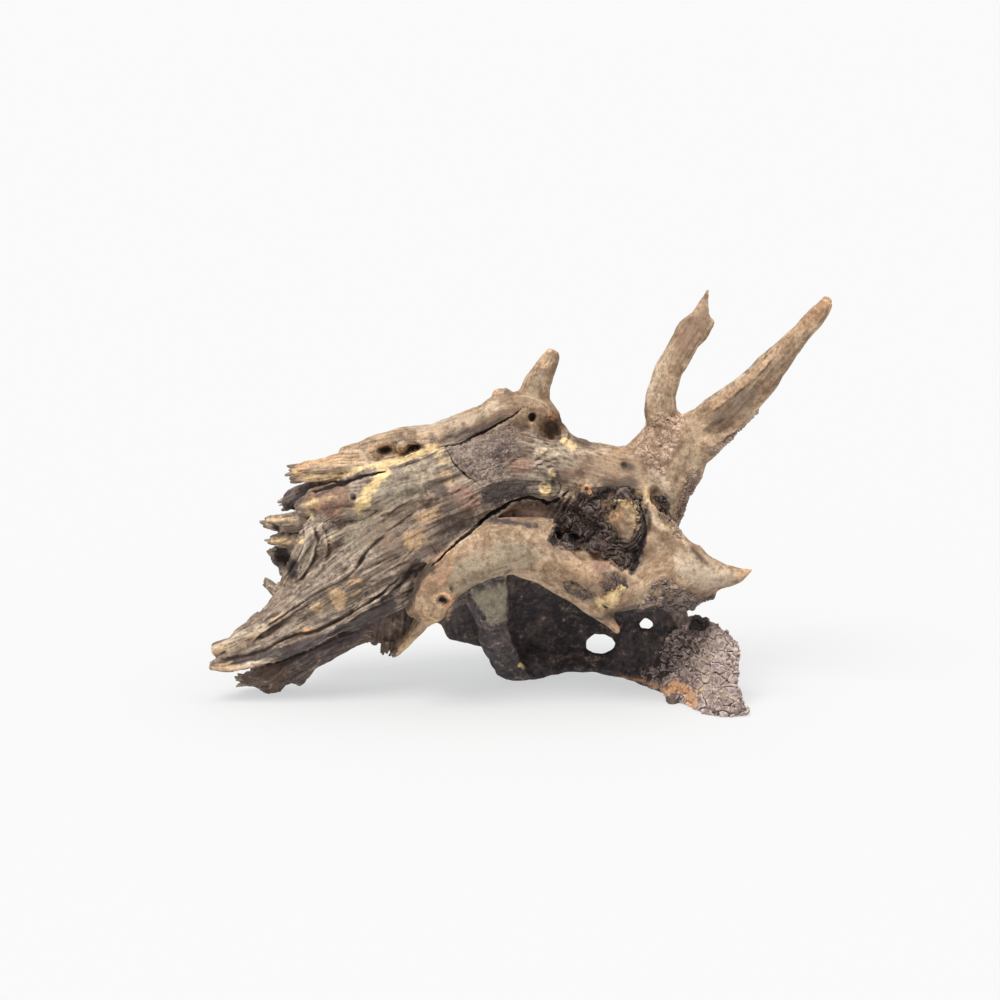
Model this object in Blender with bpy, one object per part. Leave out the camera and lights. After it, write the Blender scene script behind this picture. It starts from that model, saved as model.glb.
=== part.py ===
"""A weathered driftwood trunk: a splintered stem, a root arch, a forked limb and a hollow bark shell.

The trunk grew as one piece, so every limb here is fused into one closed solid.
It lies on three feet. The floor is z = 0, +X runs along the trunk and +Y away from its front.
"""

import math

import bmesh
import bpy
from mathutils import Vector, kdtree, noise

MM = 0.001
NODE_NAME = "driftwood_trunk"

# Limbs are measured as the trunk is seen from its front and VIEW_TILT above the level:
# across, up the view, and back along the line of sight, all in millimetres.
VIEW_TILT = math.radians(14.0)
FLOOR_UP = 19.0  # where the floor under the origin shows, up the view

RING_SIDES = 24
RINGS_PER_SPAN = 6
FUSE_VOXEL = 1.7  # mm, the finest feature that the fused wood keeps
FACES_KEPT = 11600

# relief, in millimetres: grooves run with the grain, and swellings lie under them
GROOVE_SPACING = 11.0
GROOVE_STRETCH = 7.0  # how much longer than wide the ridges between grooves run
GROOVE_DEPTH = 3.4
GROOVE_NARROWNESS = 3.2  # how much narrower the grooves are than the ridges
FULL_GROOVE_LIMB = 14.0  # half width from which a limb takes the full groove depth
RINGS_WEIGHED = 10  # rings compared to find the limb that a place belongs to
SWELL_SIZE = 26.0
SWELL_HEIGHT = 1.6
SHARP_ANGLE = 50.0  # degrees

WOOD_COLOUR = (0.23, 0.155, 0.10, 1.0)
WOOD_ROUGHNESS = 0.82


def seat(across, up, back):
    """The point of the trunk's own frame, in millimetres, seen at this place in the tilted front view."""
    height = (up - FLOOR_UP - back * math.sin(VIEW_TILT)) / math.cos(VIEW_TILT)
    return Vector((across, back, height))


SIGHT = Vector((0.0, math.cos(VIEW_TILT), -math.sin(VIEW_TILT)))


def eased(values, position):
    """A smooth curve through a row of equal-length tuples, read at position spans from its start."""
    last = len(values) - 1
    span = min(int(position), last - 1)
    t = position - span
    before, start = values[max(span - 1, 0)], values[span]
    end, after = values[span + 1], values[min(span + 2, last)]
    return [
        0.5 * (2 * b + (c - a) * t + (2 * a - 5 * b + 4 * c - d) * t * t + (3 * b - a - 3 * c + d) * t**3)
        for a, b, c, d in zip(before, start, end, after)
    ]


def limb(mesh, grain, stations, flutes=5, flute_depth=0.07, twist=0.5, seed=0.0, wear=1.0):
    """A tapering limb through stations of (across, up, back, half width, half depth), fluted along it.

    Each ring is noted in grain: its centre, its three directions, its half sizes, how far along it lies
    and how much of the full groove depth the weather has cut there, wear.
    """
    rings = []
    travelled = 40.0 * seed
    side = Vector((0.0, 0.0, 1.0))
    steps = (len(stations) - 1) * RINGS_PER_SPAN
    samples = [eased(stations, i / RINGS_PER_SPAN) for i in range(steps + 1)]
    points = [seat(*sample[:3]) for sample in samples]
    for i, sample in enumerate(samples):
        along = (points[min(i + 1, steps)] - points[max(i - 1, 0)]).normalized()
        across_grain = along.cross(SIGHT)
        if across_grain.length > 0.15:
            side = across_grain.normalized()
        depth = side.cross(along).normalized()
        half_width, half_depth = max(sample[3], 0.6), max(sample[4], 0.6)
        travelled += (points[i] - points[max(i - 1, 0)]).length
        grain.append((points[i], along, side.copy(), depth, half_width, half_depth, travelled, wear))
        ring = []
        for k in range(RING_SIDES):
            turn = math.tau * k / RING_SIDES
            twisted = twist * i / RINGS_PER_SPAN
            lobe = 1.0 + flute_depth * math.sin(flutes * turn + twisted + seed)
            lobe += 0.6 * flute_depth * math.sin((flutes + 3) * turn - twisted + 2.3 * seed)
            offset = side * half_width * math.cos(turn) + depth * half_depth * math.sin(turn)
            ring.append(mesh.verts.new(points[i] + offset * lobe))
        rings.append(ring)
    for lower, upper in zip(rings, rings[1:]):
        for k in range(RING_SIDES):
            n = (k + 1) % RING_SIDES
            mesh.faces.new((lower[k], lower[n], upper[n], upper[k]))
    mesh.faces.new(list(reversed(rings[0])))
    mesh.faces.new(rings[-1])


def plate(mesh, grain, rows, per_span=4):
    """A closed curved slab through a grid of (across, up, back, thickness), its grain running down it."""
    across_count, down_count = len(rows[0]), len(rows)
    columns = []
    for i in range((across_count - 1) * per_span + 1):
        line = [eased(row, i / per_span) for row in rows]
        columns.append([eased(line, j / per_span) for j in range((down_count - 1) * per_span + 1)])
    centres = [[seat(*value[:3]) for value in column] for column in columns]
    wide, deep = len(columns), len(columns[0])
    front, rear = [], []
    for i in range(wide):
        front.append([])
        rear.append([])
        for j in range(deep):
            run = centres[min(i + 1, wide - 1)][j] - centres[max(i - 1, 0)][j]
            fall = centres[i][min(j + 1, deep - 1)] - centres[i][max(j - 1, 0)]
            normal = run.cross(fall).normalized() * (columns[i][j][3] / 2)
            front[i].append(mesh.verts.new(centres[i][j] + normal))
            rear[i].append(mesh.verts.new(centres[i][j] - normal))
            half = columns[i][j][3] / 2
            frame = (fall.normalized(), run.normalized(), normal / half)
            grain.append((centres[i][j], *frame, 2 * half, half, 3.0 * j, 0.5))
    for i in range(wide - 1):
        for j in range(deep - 1):
            mesh.faces.new((front[i][j], front[i][j + 1], front[i + 1][j + 1], front[i + 1][j]))
            mesh.faces.new((rear[i][j], rear[i + 1][j], rear[i + 1][j + 1], rear[i][j + 1]))
    rim = [(i, 0) for i in range(wide)] + [(wide - 1, j) for j in range(1, deep)]
    rim += [(i, deep - 1) for i in range(wide - 2, -1, -1)] + [(0, j) for j in range(deep - 2, 0, -1)]
    for (i, j), (m, n) in zip(rim, rim[1:] + rim[:1]):
        mesh.faces.new((front[i][j], front[m][n], rear[m][n], rear[i][j]))


def knob(mesh, across, up, back, radius, squash=1.0):
    """A round swelling, flattened along the line of sight by squash."""
    made = bmesh.ops.create_icosphere(mesh, subdivisions=3, radius=radius)
    centre = seat(across, up, back)
    for vertex in made["verts"]:
        along_sight = SIGHT * vertex.co.dot(SIGHT)
        vertex.co += along_sight * (squash - 1.0) + centre


def add_trunk(mesh, grain):
    """The old stem, from its buried heart out to the knot where the limbs leave it."""
    limb(mesh, grain, [
        (-118, 122, 4, 30, 24), (-92, 136, 2, 46, 34), (-60, 153, 0, 51, 40),
        (-22, 170, -2, 45.5, 42), (15, 185, 0, 40, 42), (52, 185, 0, 28, 38), (85, 178, 0, 24, 32),
    ], flutes=6, flute_depth=0.05, seed=0.4, wear=0.6)
    # the shoulder that carries the fork
    limb(mesh, grain, [
        (30, 194, 2, 20, 26), (50, 186, 0, 24, 34), (78, 180, -2, 24, 34),
        (104, 173, -2, 27, 32), (130, 172, 0, 29, 26), (146, 182, 4, 20, 18),
    ], flutes=4, flute_depth=0.04, seed=1.1)
    # the rounded back of the stump
    limb(mesh, grain, [
        (-70, 143, 26, 24, 20), (-20, 154, 34, 36, 26), (35, 165, 36, 38, 28),
        (85, 165, 28, 32, 24), (120, 160, 16, 18, 16),
    ], flutes=5, flute_depth=0.08, seed=2.0)
    # the heart behind the arch, down to where the bark shell hangs
    limb(mesh, grain, [
        (10, 168, 4, 34, 34), (45, 140, 2, 36, 32), (80, 125, -4, 34, 30), (112, 118, -12, 26, 26),
    ], flutes=5, flute_depth=0.05, seed=0.9)
    # the ridge along the top
    limb(mesh, grain, [
        (-104, 192, 4, 7, 9), (-78, 200, 4, 9, 11), (-50, 205.5, -1, 10.5, 12), (-24, 211, -6, 10.5, 13),
        (0, 219, -9, 11, 13), (18, 228, -7, 12, 13), (40, 225, -2, 14, 15),
        (58, 205, 3, 11, 15), (78, 192, 2, 10, 15),
    ], flutes=3, flute_depth=0.06, seed=0.2, wear=0.6)
    limb(mesh, grain, [
        (-40, 200, 14, 10, 12), (-10, 206, 12, 12, 14), (20, 222, 12, 14, 12), (44, 220, 10, 13, 12),
    ], flutes=3, flute_depth=0.06, seed=1.2)
    knob(mesh, 16, 236, 4, 9.5)
    # the short stub that stands on it
    limb(mesh, grain, [
        (36, 224, 2, 17, 14), (40, 238, 2, 11.5, 11.5), (43.5, 248, 3, 9.2, 10),
        (49, 260, 5, 7.4, 8), (53, 269, 7, 6.2, 6.5), (54.5, 272.5, 7.5, 5, 5),
    ], flutes=4, flute_depth=0.06, seed=1.7, wear=0.6)


def add_splintered_end(mesh, grain):
    """The torn left end, where the stem breaks into long splinters and stubs."""
    # two long low slivers, one on the other
    limb(mesh, grain, [
        (-201, 49, -34, 4, 6), (-186, 54, -34, 6.5, 8), (-160, 67, -34, 10, 10), (-128, 86, -32, 15, 14),
        (-90, 108, -30, 22, 18), (-48, 130, -24, 26, 20), (0, 152, -14, 24, 20),
    ], flutes=4, flute_depth=0.12, seed=0.3)
    limb(mesh, grain, [
        (-203, 36, -40, 4, 5), (-186, 38, -40, 6, 7), (-158, 48, -38, 8, 9), (-122, 66, -36, 12, 12),
        (-84, 86, -33, 15, 15), (-46, 107, -28, 15, 17), (-12, 132, -22, 14, 16),
    ], flutes=3, flute_depth=0.12, seed=1.3)
    # the stepped ridge above them
    limb(mesh, grain, [
        (-170, 68, -22, 5, 6), (-155, 76, -24, 8, 9), (-128, 94, -26, 13, 13),
        (-98, 118, -28, 18, 16), (-60, 144, -26, 20, 18),
    ], flutes=4, flute_depth=0.1, seed=2.2)
    # the dark slab underneath, down to the left foot
    limb(mesh, grain, [
        (-181, 27, -12, 3, 6), (-170, 27, -12, 8, 10), (-152, 33, -12, 13, 12), (-126, 50, -8, 14, 14),
        (-98, 63, 6, 12, 15), (-62, 74, 10, 15, 18), (-28, 92, 10, 18, 20), (10, 118, 4, 24, 24),
    ], flutes=4, flute_depth=0.12, seed=0.8)
    # the foot's two toes
    limb(mesh, grain, [
        (-157, 10, -8, 8, 9), (-158, 20, -8, 9, 10), (-150, 32, -6, 10, 12),
    ], flutes=3, seed=0.3)
    limb(mesh, grain, [
        (-135, 21, -6, 3.5, 5), (-137, 28, -5, 6.5, 7), (-128, 44, 0, 10, 12),
    ], flutes=3, flute_depth=0.1, seed=0.1)
    # curled ridges round the hollow
    limb(mesh, grain, [
        (-144, 100, -22, 4, 6), (-137, 112, -26, 7, 8), (-128, 128, -28, 9, 10),
        (-112, 142, -26, 13, 13), (-84, 152, -22, 18, 16),
    ], flutes=3, flute_depth=0.08, seed=1.9)
    limb(mesh, grain, [
        (-162, 99, 6, 2.2, 3), (-158, 95, 4, 3.5, 5), (-150, 92, 0, 7, 8),
        (-136, 97, -4, 11, 14), (-112, 110, -6, 18, 20),
    ], flutes=4, flute_depth=0.1, seed=2.7)
    limb(mesh, grain, [
        (-157, 124, 16, 4, 5), (-150, 119, 18, 9, 7), (-130, 120, 16, 16, 12), (-100, 126, 10, 20, 20),
    ], flutes=4, flute_depth=0.08, seed=0.6)
    limb(mesh, grain, [
        (-151, 108, 14, 4, 5), (-142, 108, 14, 9, 7), (-120, 112, 10, 14, 14),
    ], flutes=4, seed=1.6)
    # broken fingers, from the lowest up
    limb(mesh, grain, [
        (-159, 130, 2, 2.6, 4), (-148, 131, 2, 4.5, 6), (-130, 133, 0, 7, 9), (-104, 136, -4, 12, 14),
    ], flutes=3, flute_depth=0.1, seed=1.2)
    limb(mesh, grain, [
        (-161, 145, 0, 4.5, 5), (-148, 144, -2, 6.5, 8), (-128, 146, -6, 9, 11), (-98, 150, -10, 16, 16),
    ], flutes=4, flute_depth=0.12, seed=2.4)
    limb(mesh, grain, [
        (-136, 155, -14, 6, 7), (-124, 158, -16, 9, 10), (-104, 161, -20, 13, 13),
        (-76, 164, -22, 18, 17), (-40, 172, -22, 22, 20),
    ], flutes=4, flute_depth=0.09, seed=0.5)
    limb(mesh, grain, [
        (-148, 158, 16, 5, 6), (-140, 162, 15, 8, 9), (-122, 168, 13, 10, 12), (-92, 176, 8, 14, 16),
    ], flutes=5, flute_depth=0.12, seed=3.0)
    limb(mesh, grain, [
        (-140, 181, 0, 5.5, 7), (-128, 183.5, -2, 7.5, 9), (-108, 186, -4, 9, 11), (-82, 187, -6, 10, 13),
        (-55, 192, -8, 12, 15), (-20, 196, -8, 16, 18),
    ], flutes=4, flute_depth=0.09, seed=1.5)


def add_curtain(mesh, grain):
    """Dark torn wood that hangs behind the arch's left end."""
    plate(mesh, grain, [
        [(-92, 92, 2, 9), (-66, 104, 0, 11), (-40, 112, -4, 12)],
        [(-84, 72, -4, 7), (-66, 76, -6, 8), (-42, 82, -8, 9)],
        [(-80, 54, -6, 5), (-68, 52, -8, 5), (-52, 56, -10, 5)],
    ])
    limb(mesh, grain, [
        (-38, 76, -20, 7, 7), (-50, 62, -18, 5, 5), (-60, 50, -14, 4, 4), (-65, 44, -12, 2, 2.5),
    ], flutes=3, seed=0.7)
    limb(mesh, grain, [
        (-74, 66, -6, 6, 4), (-79, 56, -6, 4, 3.5), (-81, 50, -6, 2, 2.5),
    ], flutes=3, seed=1.7)
    limb(mesh, grain, [
        (-60, 60, -8, 7, 4), (-64, 50, -8, 5, 3.5), (-68, 45, -7, 2.5, 2.5),
    ], flutes=3, seed=2.7)


def add_root_arch(mesh, grain):
    """The smooth root that bows over the hollow, from its blunt left end to the spur on the right."""
    limb(mesh, grain, [
        (-37, 75, -54, 8, 8), (-37, 82, -58, 12.5, 13), (-33, 93, -58, 14.5, 16),
        (-20, 107, -56, 16.5, 17), (-2, 119, -52, 19.5, 18),
        (22, 127, -46, 21, 20), (46, 124, -42, 23, 20), (68, 113, -42, 21, 18), (86, 103, -44, 16, 16),
        (100, 99, -46, 9, 11),
    ], flutes=3, flute_depth=0.04, twist=0.3, seed=0.9, wear=0.3)
    # the spur that points down to the right from under the arch
    limb(mesh, grain, [
        (44, 110, -40, 10, 12), (62, 98, -44, 8, 10), (78, 86.5, -48, 6.5, 8),
        (90, 77, -51, 5, 6.5), (99, 68.5, -53, 3.8, 5), (103.5, 62.5, -54, 2.4, 3.4),
    ], flutes=3, flute_depth=0.05, seed=1.6, wear=0.4)
    knob(mesh, -49, 81, -56, 6)
    knob(mesh, -38, 83, -66, 9, squash=0.8)
    # the bump over the spur, and the second root that swings up to the horn
    knob(mesh, 88, 108, -54, 15, squash=0.8)
    knob(mesh, 102, 101, -54, 11, squash=0.8)
    limb(mesh, grain, [
        (84, 90, -46, 9, 10), (98, 88, -50, 10, 12), (114, 93, -50, 14, 15),
        (132, 103, -46, 18, 18), (150, 110, -42, 20, 18),
        (167, 106, -40, 14, 14), (182, 104, -40, 8.5, 9),
        (192, 105.5, -41, 6, 6), (199, 108, -42, 2.6, 3),
        (203, 110.5, -42, 1.6, 2),
    ], flutes=3, flute_depth=0.04, twist=0.3, seed=0.1, wear=0.5)
    limb(mesh, grain, [
        (150, 100, -38, 16, 12), (168, 95, -38, 10, 9), (176, 91, -37, 4, 5),
    ], flutes=3, seed=1.3)
    # the rim from the neck down to the horn
    limb(mesh, grain, [
        (116, 176, -14, 8, 12), (124, 161, -24, 7, 12), (130, 148, -32, 8, 13),
        (140, 134, -38, 10, 14), (150, 120, -42, 14, 15),
    ], flutes=3, flute_depth=0.05, seed=0.6)
    # the wall between the rim and the arch, under the burl
    limb(mesh, grain, [
        (112, 150, -16, 18, 16), (122, 128, -24, 20, 18), (112, 108, -32, 20, 18), (92, 100, -34, 16, 16),
    ], flutes=3, flute_depth=0.05, seed=0.8)


def add_fork(mesh, grain):
    """The neck and the two antlers that it splits into."""
    limb(mesh, grain, [
        (118, 168, 0, 22, 22), (133, 184, 4, 29, 22), (147, 203, 8, 25, 19), (155, 216, 9, 19, 14),
    ], flutes=4, flute_depth=0.05, seed=0.4, wear=0.7)
    limb(mesh, grain, [
        (140, 208, 8, 16, 13), (136.5, 224, 11, 12.5, 11),
        (136, 240, 14, 10.5, 9.5), (141, 258, 19, 10, 8.5),
        (151.5, 276, 24, 11, 7.5), (160, 290, 28, 11.5, 6.5),
        (165.5, 302, 30, 6.5, 5), (168.5, 312, 32, 3.6, 3.6),
        (171.5, 321, 34, 2, 2),
    ], flutes=3, flute_depth=0.05, twist=0.4, seed=1.9, wear=0.5)
    limb(mesh, grain, [
        (161, 284, 28, 8, 5.5), (170, 293, 29, 5, 4), (176, 298, 29, 1.8, 2),
    ], flutes=3, flute_depth=0.05)
    limb(mesh, grain, [
        (150, 204, 8, 20, 14), (167, 212, 4, 19.5, 13),
        (185, 227, -3, 17, 11), (203, 246, -10, 13.5, 9.5),
        (219, 265, -16, 11, 8.5), (233, 280, -20, 9, 7.2),
        (245.5, 294.5, -23, 7.6, 6.5), (252, 302, -25, 6.6, 6),
        (256.5, 309, -26, 4.4, 4.4),
    ], flutes=3, flute_depth=0.05, twist=0.4, seed=2.8, wear=0.7)
    # the strip that runs down the fork's right side, with its bark edge
    limb(mesh, grain, [
        (161, 206, 6, 10, 9), (153.5, 190, 8, 10.5, 10), (148.5, 172, 6, 8.5, 10),
        (147, 156, 2, 7, 10), (145.5, 143, -4, 5, 8),
        (145, 134, -10, 4, 7),
    ], flutes=3, flute_depth=0.05, seed=0.5)


def add_shell(mesh, grain):
    """The thin hollow shell behind the arch, which opens to the right into a thick bark lobe."""
    plate(mesh, grain, [
        [
            (8, 118, 2, 14), (40, 122, 10, 14), (68, 120, 14, 14), (95, 114, 10, 14),
            (120, 104, 0, 14), (142, 96, -12, 12), (156, 90, -20, 8),
        ],
        [
            (16, 80, 20, 8), (41, 83, 38, 8), (68, 79, 46, 7.5), (94, 78, 44, 7),
            (120, 78, 30, 7), (144, 76, 12, 8), (156, 74, 4, 8),
        ],
        [
            (18, 53, 28, 8), (41, 53, 44, 8), (68, 53, 50, 7.5), (94, 52, 44, 7),
            (122, 49, 24, 7), (146, 45, -4, 8), (160, 44, -20, 9),
        ],
        [
            (24, 25, 30, 9), (42, 22, 32, 9), (68, 29, 38, 8), (94, 28, 30, 8),
            (122, 21, 8, 8), (148, 12, -22, 9), (166, 5, -48, 10),
        ],
    ])
    plate(mesh, grain, [
        [(160, 74, 0, 8), (168, 72, -10, 9), (180, 63, -22, 9), (190, 50, -34, 8)],
        [(152, 58, -4, 9), (168, 56, -22, 11), (181, 52, -34, 11), (194, 44, -46, 8)],
        [(150, 36, -14, 10), (167, 36, -34, 12), (180, 32, -46, 12), (191, 27, -56, 9)],
        [(152, 12, -30, 10), (162, 6, -50, 12), (174, -4, -70, 13), (199, 4, -74, 8)],
    ])
    # the peg that the shell stands on, and the foot below the pillar
    limb(mesh, grain, [(146, 28, -22, 7, 8), (145, 16, -34, 5.5, 7), (144, 4, -40, 4.5, 6)], flutes=3)
    limb(mesh, grain, [(38, 46, 40, 14, 9), (38, 33, 32, 14, 9), (38, 22, 28, 12, 9)], flutes=4)
    # bark under the horn, down to the shell
    plate(mesh, grain, [
        [(112, 94, -40, 10), (132, 98, -40, 12), (152, 96, -40, 12), (170, 92, -37, 7)],
        [(114, 85, -28, 8), (134, 88, -28, 8), (150, 87, -28, 8), (165, 85, -30, 6)],
        [(116, 80, -6, 8), (136, 84, -8, 8), (150, 84, -10, 8), (158, 82, -16, 6)],
    ])


def add_pillar(mesh, grain):
    """The fin that drops from the arch to the shell's floor, and the wall to its left."""
    plate(mesh, grain, [
        [(-12, 104, -44, 14), (4, 106, -44, 16), (19, 108, -42, 14)],
        [(-10, 88, -38, 7), (4, 84, -42, 11), (20, 84, -38, 9)],
        [(-1, 70, -24, 6), (9, 66, -28, 9), (21, 66, -22, 8)],
        [(2, 52, 0, 7), (13, 48, -4, 9), (28, 46, 2, 9)],
        [(13, 32, 22, 8), (26, 25, 24, 10), (42, 22, 30, 10)],
    ])
    plate(mesh, grain, [
        [(-34, 92, 0, 12), (-18, 96, 2, 14), (2, 98, 2, 14)],
        [(-32, 70, 4, 7), (-16, 70, 10, 8), (2, 68, 14, 9)],
        [(-25, 54, 8, 7), (-12, 53, 14, 7), (8, 48, 20, 8)],
    ])


def add_rear_root(mesh, grain):
    """A stout root behind the shell that takes the weight at the back."""
    limb(mesh, grain, [
        (20, 168, 30, 26, 22), (30, 140, 52, 20, 18), (38, 108, 70, 15, 15),
        (43, 78, 78, 12, 13), (46, 52, 80, 11, 12), (47, 38, 80, 10, 11),
    ], flutes=5, flute_depth=0.09, seed=1.4)


def add_hollows(mesh, grain):
    """What rot took out: the burl pocket, knot eyes, the torn end's hollow and the shell's windows."""
    # the burl pocket and the deeper pits inside it
    knob(mesh, 89, 141, -42, 29, squash=0.85)
    knob(mesh, 108, 127, -46, 19, squash=0.9)
    knob(mesh, 102, 154, -44, 18, squash=1.0)
    knob(mesh, 64, 137, -38, 13, squash=1.5)
    # the eye by the stub, with its small neighbour
    knob(mesh, 53, 213, -20, 11, squash=1.6)
    knob(mesh, 60, 206, -27, 8, squash=1.5)
    knob(mesh, 39, 223, -12, 3.6, squash=2.2)
    # the pit on the shoulder
    knob(mesh, 108, 188, -29, 5.0, squash=1.4)
    # the hollow in the torn end
    limb(mesh, grain, [
        (-172, 112, -8, 11, 12), (-150, 115, -8, 12, 13), (-130, 118, -8, 10, 12), (-108, 124, -6, 4, 6),
    ], flutes=4)
    # the slot under the top ridge
    limb(mesh, grain, [
        (-84, 196, -15, 3, 9), (-72, 197, -16, 6, 13), (-58, 199, -18, 5.5, 14), (-44, 202, -20, 2.5, 9),
    ], flutes=3)
    # the pocket between the fork's strip and the rim
    knob(mesh, 130, 167, -27, 5, squash=1.4)
    knob(mesh, 131, 160, -30, 6.5, squash=1.3)
    knob(mesh, 134, 151, -32, 7, squash=1.2)
    # the two windows in the shell and the worm hole beside the pillar
    limb(mesh, grain, [
        (92, 51, 10, 8.8, 11.5), (92, 51, 44, 8.8, 11.5), (92, 51, 80, 8.8, 11.5),
    ], flutes=3, flute_depth=0.05)
    limb(mesh, grain, [
        (126.5, 67, -20, 5.4, 6.4), (126.5, 67, 20, 5.4, 6.4), (126.5, 67, 60, 5.4, 6.4),
    ], flutes=3, flute_depth=0.08)
    # the bite out of the left antler's tip
    knob(mesh, 178, 302, 29, 6.4, squash=3.0)


def add_burl(mesh, grain):
    """Knobbly bark that stands in the burl pocket, with one pale stub among it."""
    limb(mesh, grain, [
        (112, 124, -14, 15, 12), (110, 138, -32, 11, 11), (108, 150, -44, 9, 9),
        (106, 160, -49, 6, 6.5), (105, 165, -50, 3, 4),
    ], seed=0.5)
    for across, up, back, radius in (
        (88, 156, -26, 10), (78, 162, -24, 7), (84, 140, -20, 9), (96, 146, -26, 9),
        (94, 128, -27, 12), (80, 122, -24, 8), (104, 116, -34, 11), (118, 114, -38, 9),
        (123, 128, -38, 8), (122, 142, -34, 7), (72, 146, -14, 8), (98, 166, -28, 7), (110, 104, -40, 7),
    ):
        knob(mesh, across, up, back, radius)


def as_object(mesh, name):
    """The bmesh as a scene object, faces turned outwards."""
    bmesh.ops.recalc_face_normals(mesh, faces=mesh.faces)
    data = bpy.data.meshes.new(name)
    for vertex in mesh.verts:
        vertex.co *= MM
    mesh.to_mesh(data)
    mesh.free()
    made = bpy.data.objects.new(name, data)
    bpy.context.scene.collection.objects.link(made)
    return made


def apply_modifiers(wood):
    """Freezes the object's modifiers into its mesh."""
    bpy.context.view_layer.update()
    evaluated = wood.evaluated_get(bpy.context.evaluated_depsgraph_get())
    frozen = bpy.data.meshes.new_from_object(evaluated)
    wood.modifiers.clear()
    wood.data = frozen


def fuse(wood, voxel):
    """Fuses overlapping limbs into one closed skin."""
    modifier = wood.modifiers.new("fuse", "REMESH")
    modifier.mode = "VOXEL"
    modifier.voxel_size = voxel * MM
    apply_modifiers(wood)


def join(wood, extra):
    """Adds the extra object's skin to the wood's, still unfused."""
    mesh = bmesh.new()
    mesh.from_mesh(wood.data)
    mesh.from_mesh(extra.data)
    mesh.to_mesh(wood.data)
    mesh.free()
    bpy.data.objects.remove(extra)
    return wood


def relax(wood, factor, rounds):
    """Rounds the joins off."""
    modifier = wood.modifiers.new("relax", "SMOOTH")
    modifier.factor = factor
    modifier.iterations = rounds
    apply_modifiers(wood)


def cut(wood, cutter, solver="MANIFOLD"):
    """Takes the cutter's space out of the wood."""
    modifier = wood.modifiers.new("cut", "BOOLEAN")
    modifier.operation = "DIFFERENCE"
    modifier.solver = solver
    modifier.object = cutter
    apply_modifiers(wood)
    bpy.data.objects.remove(cutter)


def thin_out(wood, faces):
    """Fewer triangles where the wood is smooth."""
    modifier = wood.modifiers.new("thin_out", "DECIMATE")
    modifier.ratio = faces / (2 * len(wood.data.polygons))
    modifier.use_collapse_triangulate = True
    apply_modifiers(wood)


def box_below_floor():
    """A slab under the floor, which trims the feet flat."""
    mesh = bmesh.new()
    bmesh.ops.create_cube(mesh, size=1.0)
    for vertex in mesh.verts:
        vertex.co = Vector((vertex.co.x * 900, vertex.co.y * 900, vertex.co.z * 100 - 50))
    return as_object(mesh, "floor_trim")


def wood_material():
    material = bpy.data.materials.new("weathered_wood")
    material.use_nodes = True
    surface = material.node_tree.nodes["Principled BSDF"]
    surface.inputs["Base Color"].default_value = WOOD_COLOUR
    surface.inputs["Roughness"].default_value = WOOD_ROUGHNESS
    surface.inputs["Metallic"].default_value = 0.0
    return material


def groove(place, rings, tree):
    """How deep the weathering cut here: narrow grooves and wide ridges that follow the nearest limb."""
    nearest = None
    for _, index, _ in tree.find_n(place, RINGS_WEIGHED):
        centre, along, side, depth, half_width, half_depth, travelled, wear = rings[index]
        offset = place - centre
        out_x, out_y = offset.dot(side), offset.dot(depth)
        share = math.hypot(out_x / half_width, out_y / half_depth)
        strength = wear * min(1.0, half_width / FULL_GROOVE_LIMB)
        if nearest is None or share < nearest[0]:
            nearest = (share, out_x, out_y, travelled + offset.dot(along), strength)
    _, out_x, out_y, travelled, strength = nearest
    on_grain = Vector((out_x, out_y, travelled / GROOVE_STRETCH)) / GROOVE_SPACING
    ridge = min(1.0, GROOVE_NARROWNESS * abs(noise.noise(on_grain)))
    return GROOVE_DEPTH * strength * (1.0 - ridge)


def roughen(wood, rings):
    """Weathered relief: grooves cut along the grain, over broad swellings."""
    tree = kdtree.KDTree(len(rings))
    for i, ring in enumerate(rings):
        tree.insert(ring[0], i)
    tree.balance()
    mesh = bmesh.new()
    mesh.from_mesh(wood.data)
    for vertex in mesh.verts:
        place = vertex.co / MM
        swell = SWELL_HEIGHT * noise.noise(place / SWELL_SIZE)
        vertex.co += vertex.normal * MM * (swell + GROOVE_DEPTH * 0.3 - groove(place, rings, tree))
    mesh.to_mesh(wood.data)
    mesh.free()


def centre_over_origin(wood):
    """Moves the skin sideways until the origin lies on the floor under the middle of the trunk's box."""
    for axis in (0, 1):
        places = [vertex.co[axis] for vertex in wood.data.vertices]
        middle = (min(places) + max(places)) / 2
        for vertex in wood.data.vertices:
            vertex.co[axis] -= middle


def build():
    for leftover in list(bpy.data.objects):
        bpy.data.objects.remove(leftover)
    solid, hollows, burl = bmesh.new(), bmesh.new(), bmesh.new()
    grain = []
    for add in (add_trunk, add_splintered_end, add_curtain, add_root_arch,
                add_fork, add_shell, add_pillar, add_rear_root):
        add(solid, grain)
    add_hollows(hollows, [])
    add_burl(burl, [])
    wood = as_object(solid, NODE_NAME)
    fuse(wood, FUSE_VOXEL)
    relax(wood, 0.5, 3)
    hollow = as_object(hollows, "hollows")
    fuse(hollow, FUSE_VOXEL)
    cut(wood, hollow)
    fuse(join(wood, as_object(burl, "burl")), FUSE_VOXEL)
    relax(wood, 0.5, 1)
    roughen(wood, grain)
    fuse(wood, FUSE_VOXEL)
    relax(wood, 0.3, 1)
    thin_out(wood, FACES_KEPT)
    cut(wood, box_below_floor(), solver="EXACT")
    wood.data.materials.clear()
    wood.data.materials.append(wood_material())
    wood.data.shade_smooth()
    wood.data.set_sharp_from_angle(angle=math.radians(SHARP_ANGLE))
    centre_over_origin(wood)


build()
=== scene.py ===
import math

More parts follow.
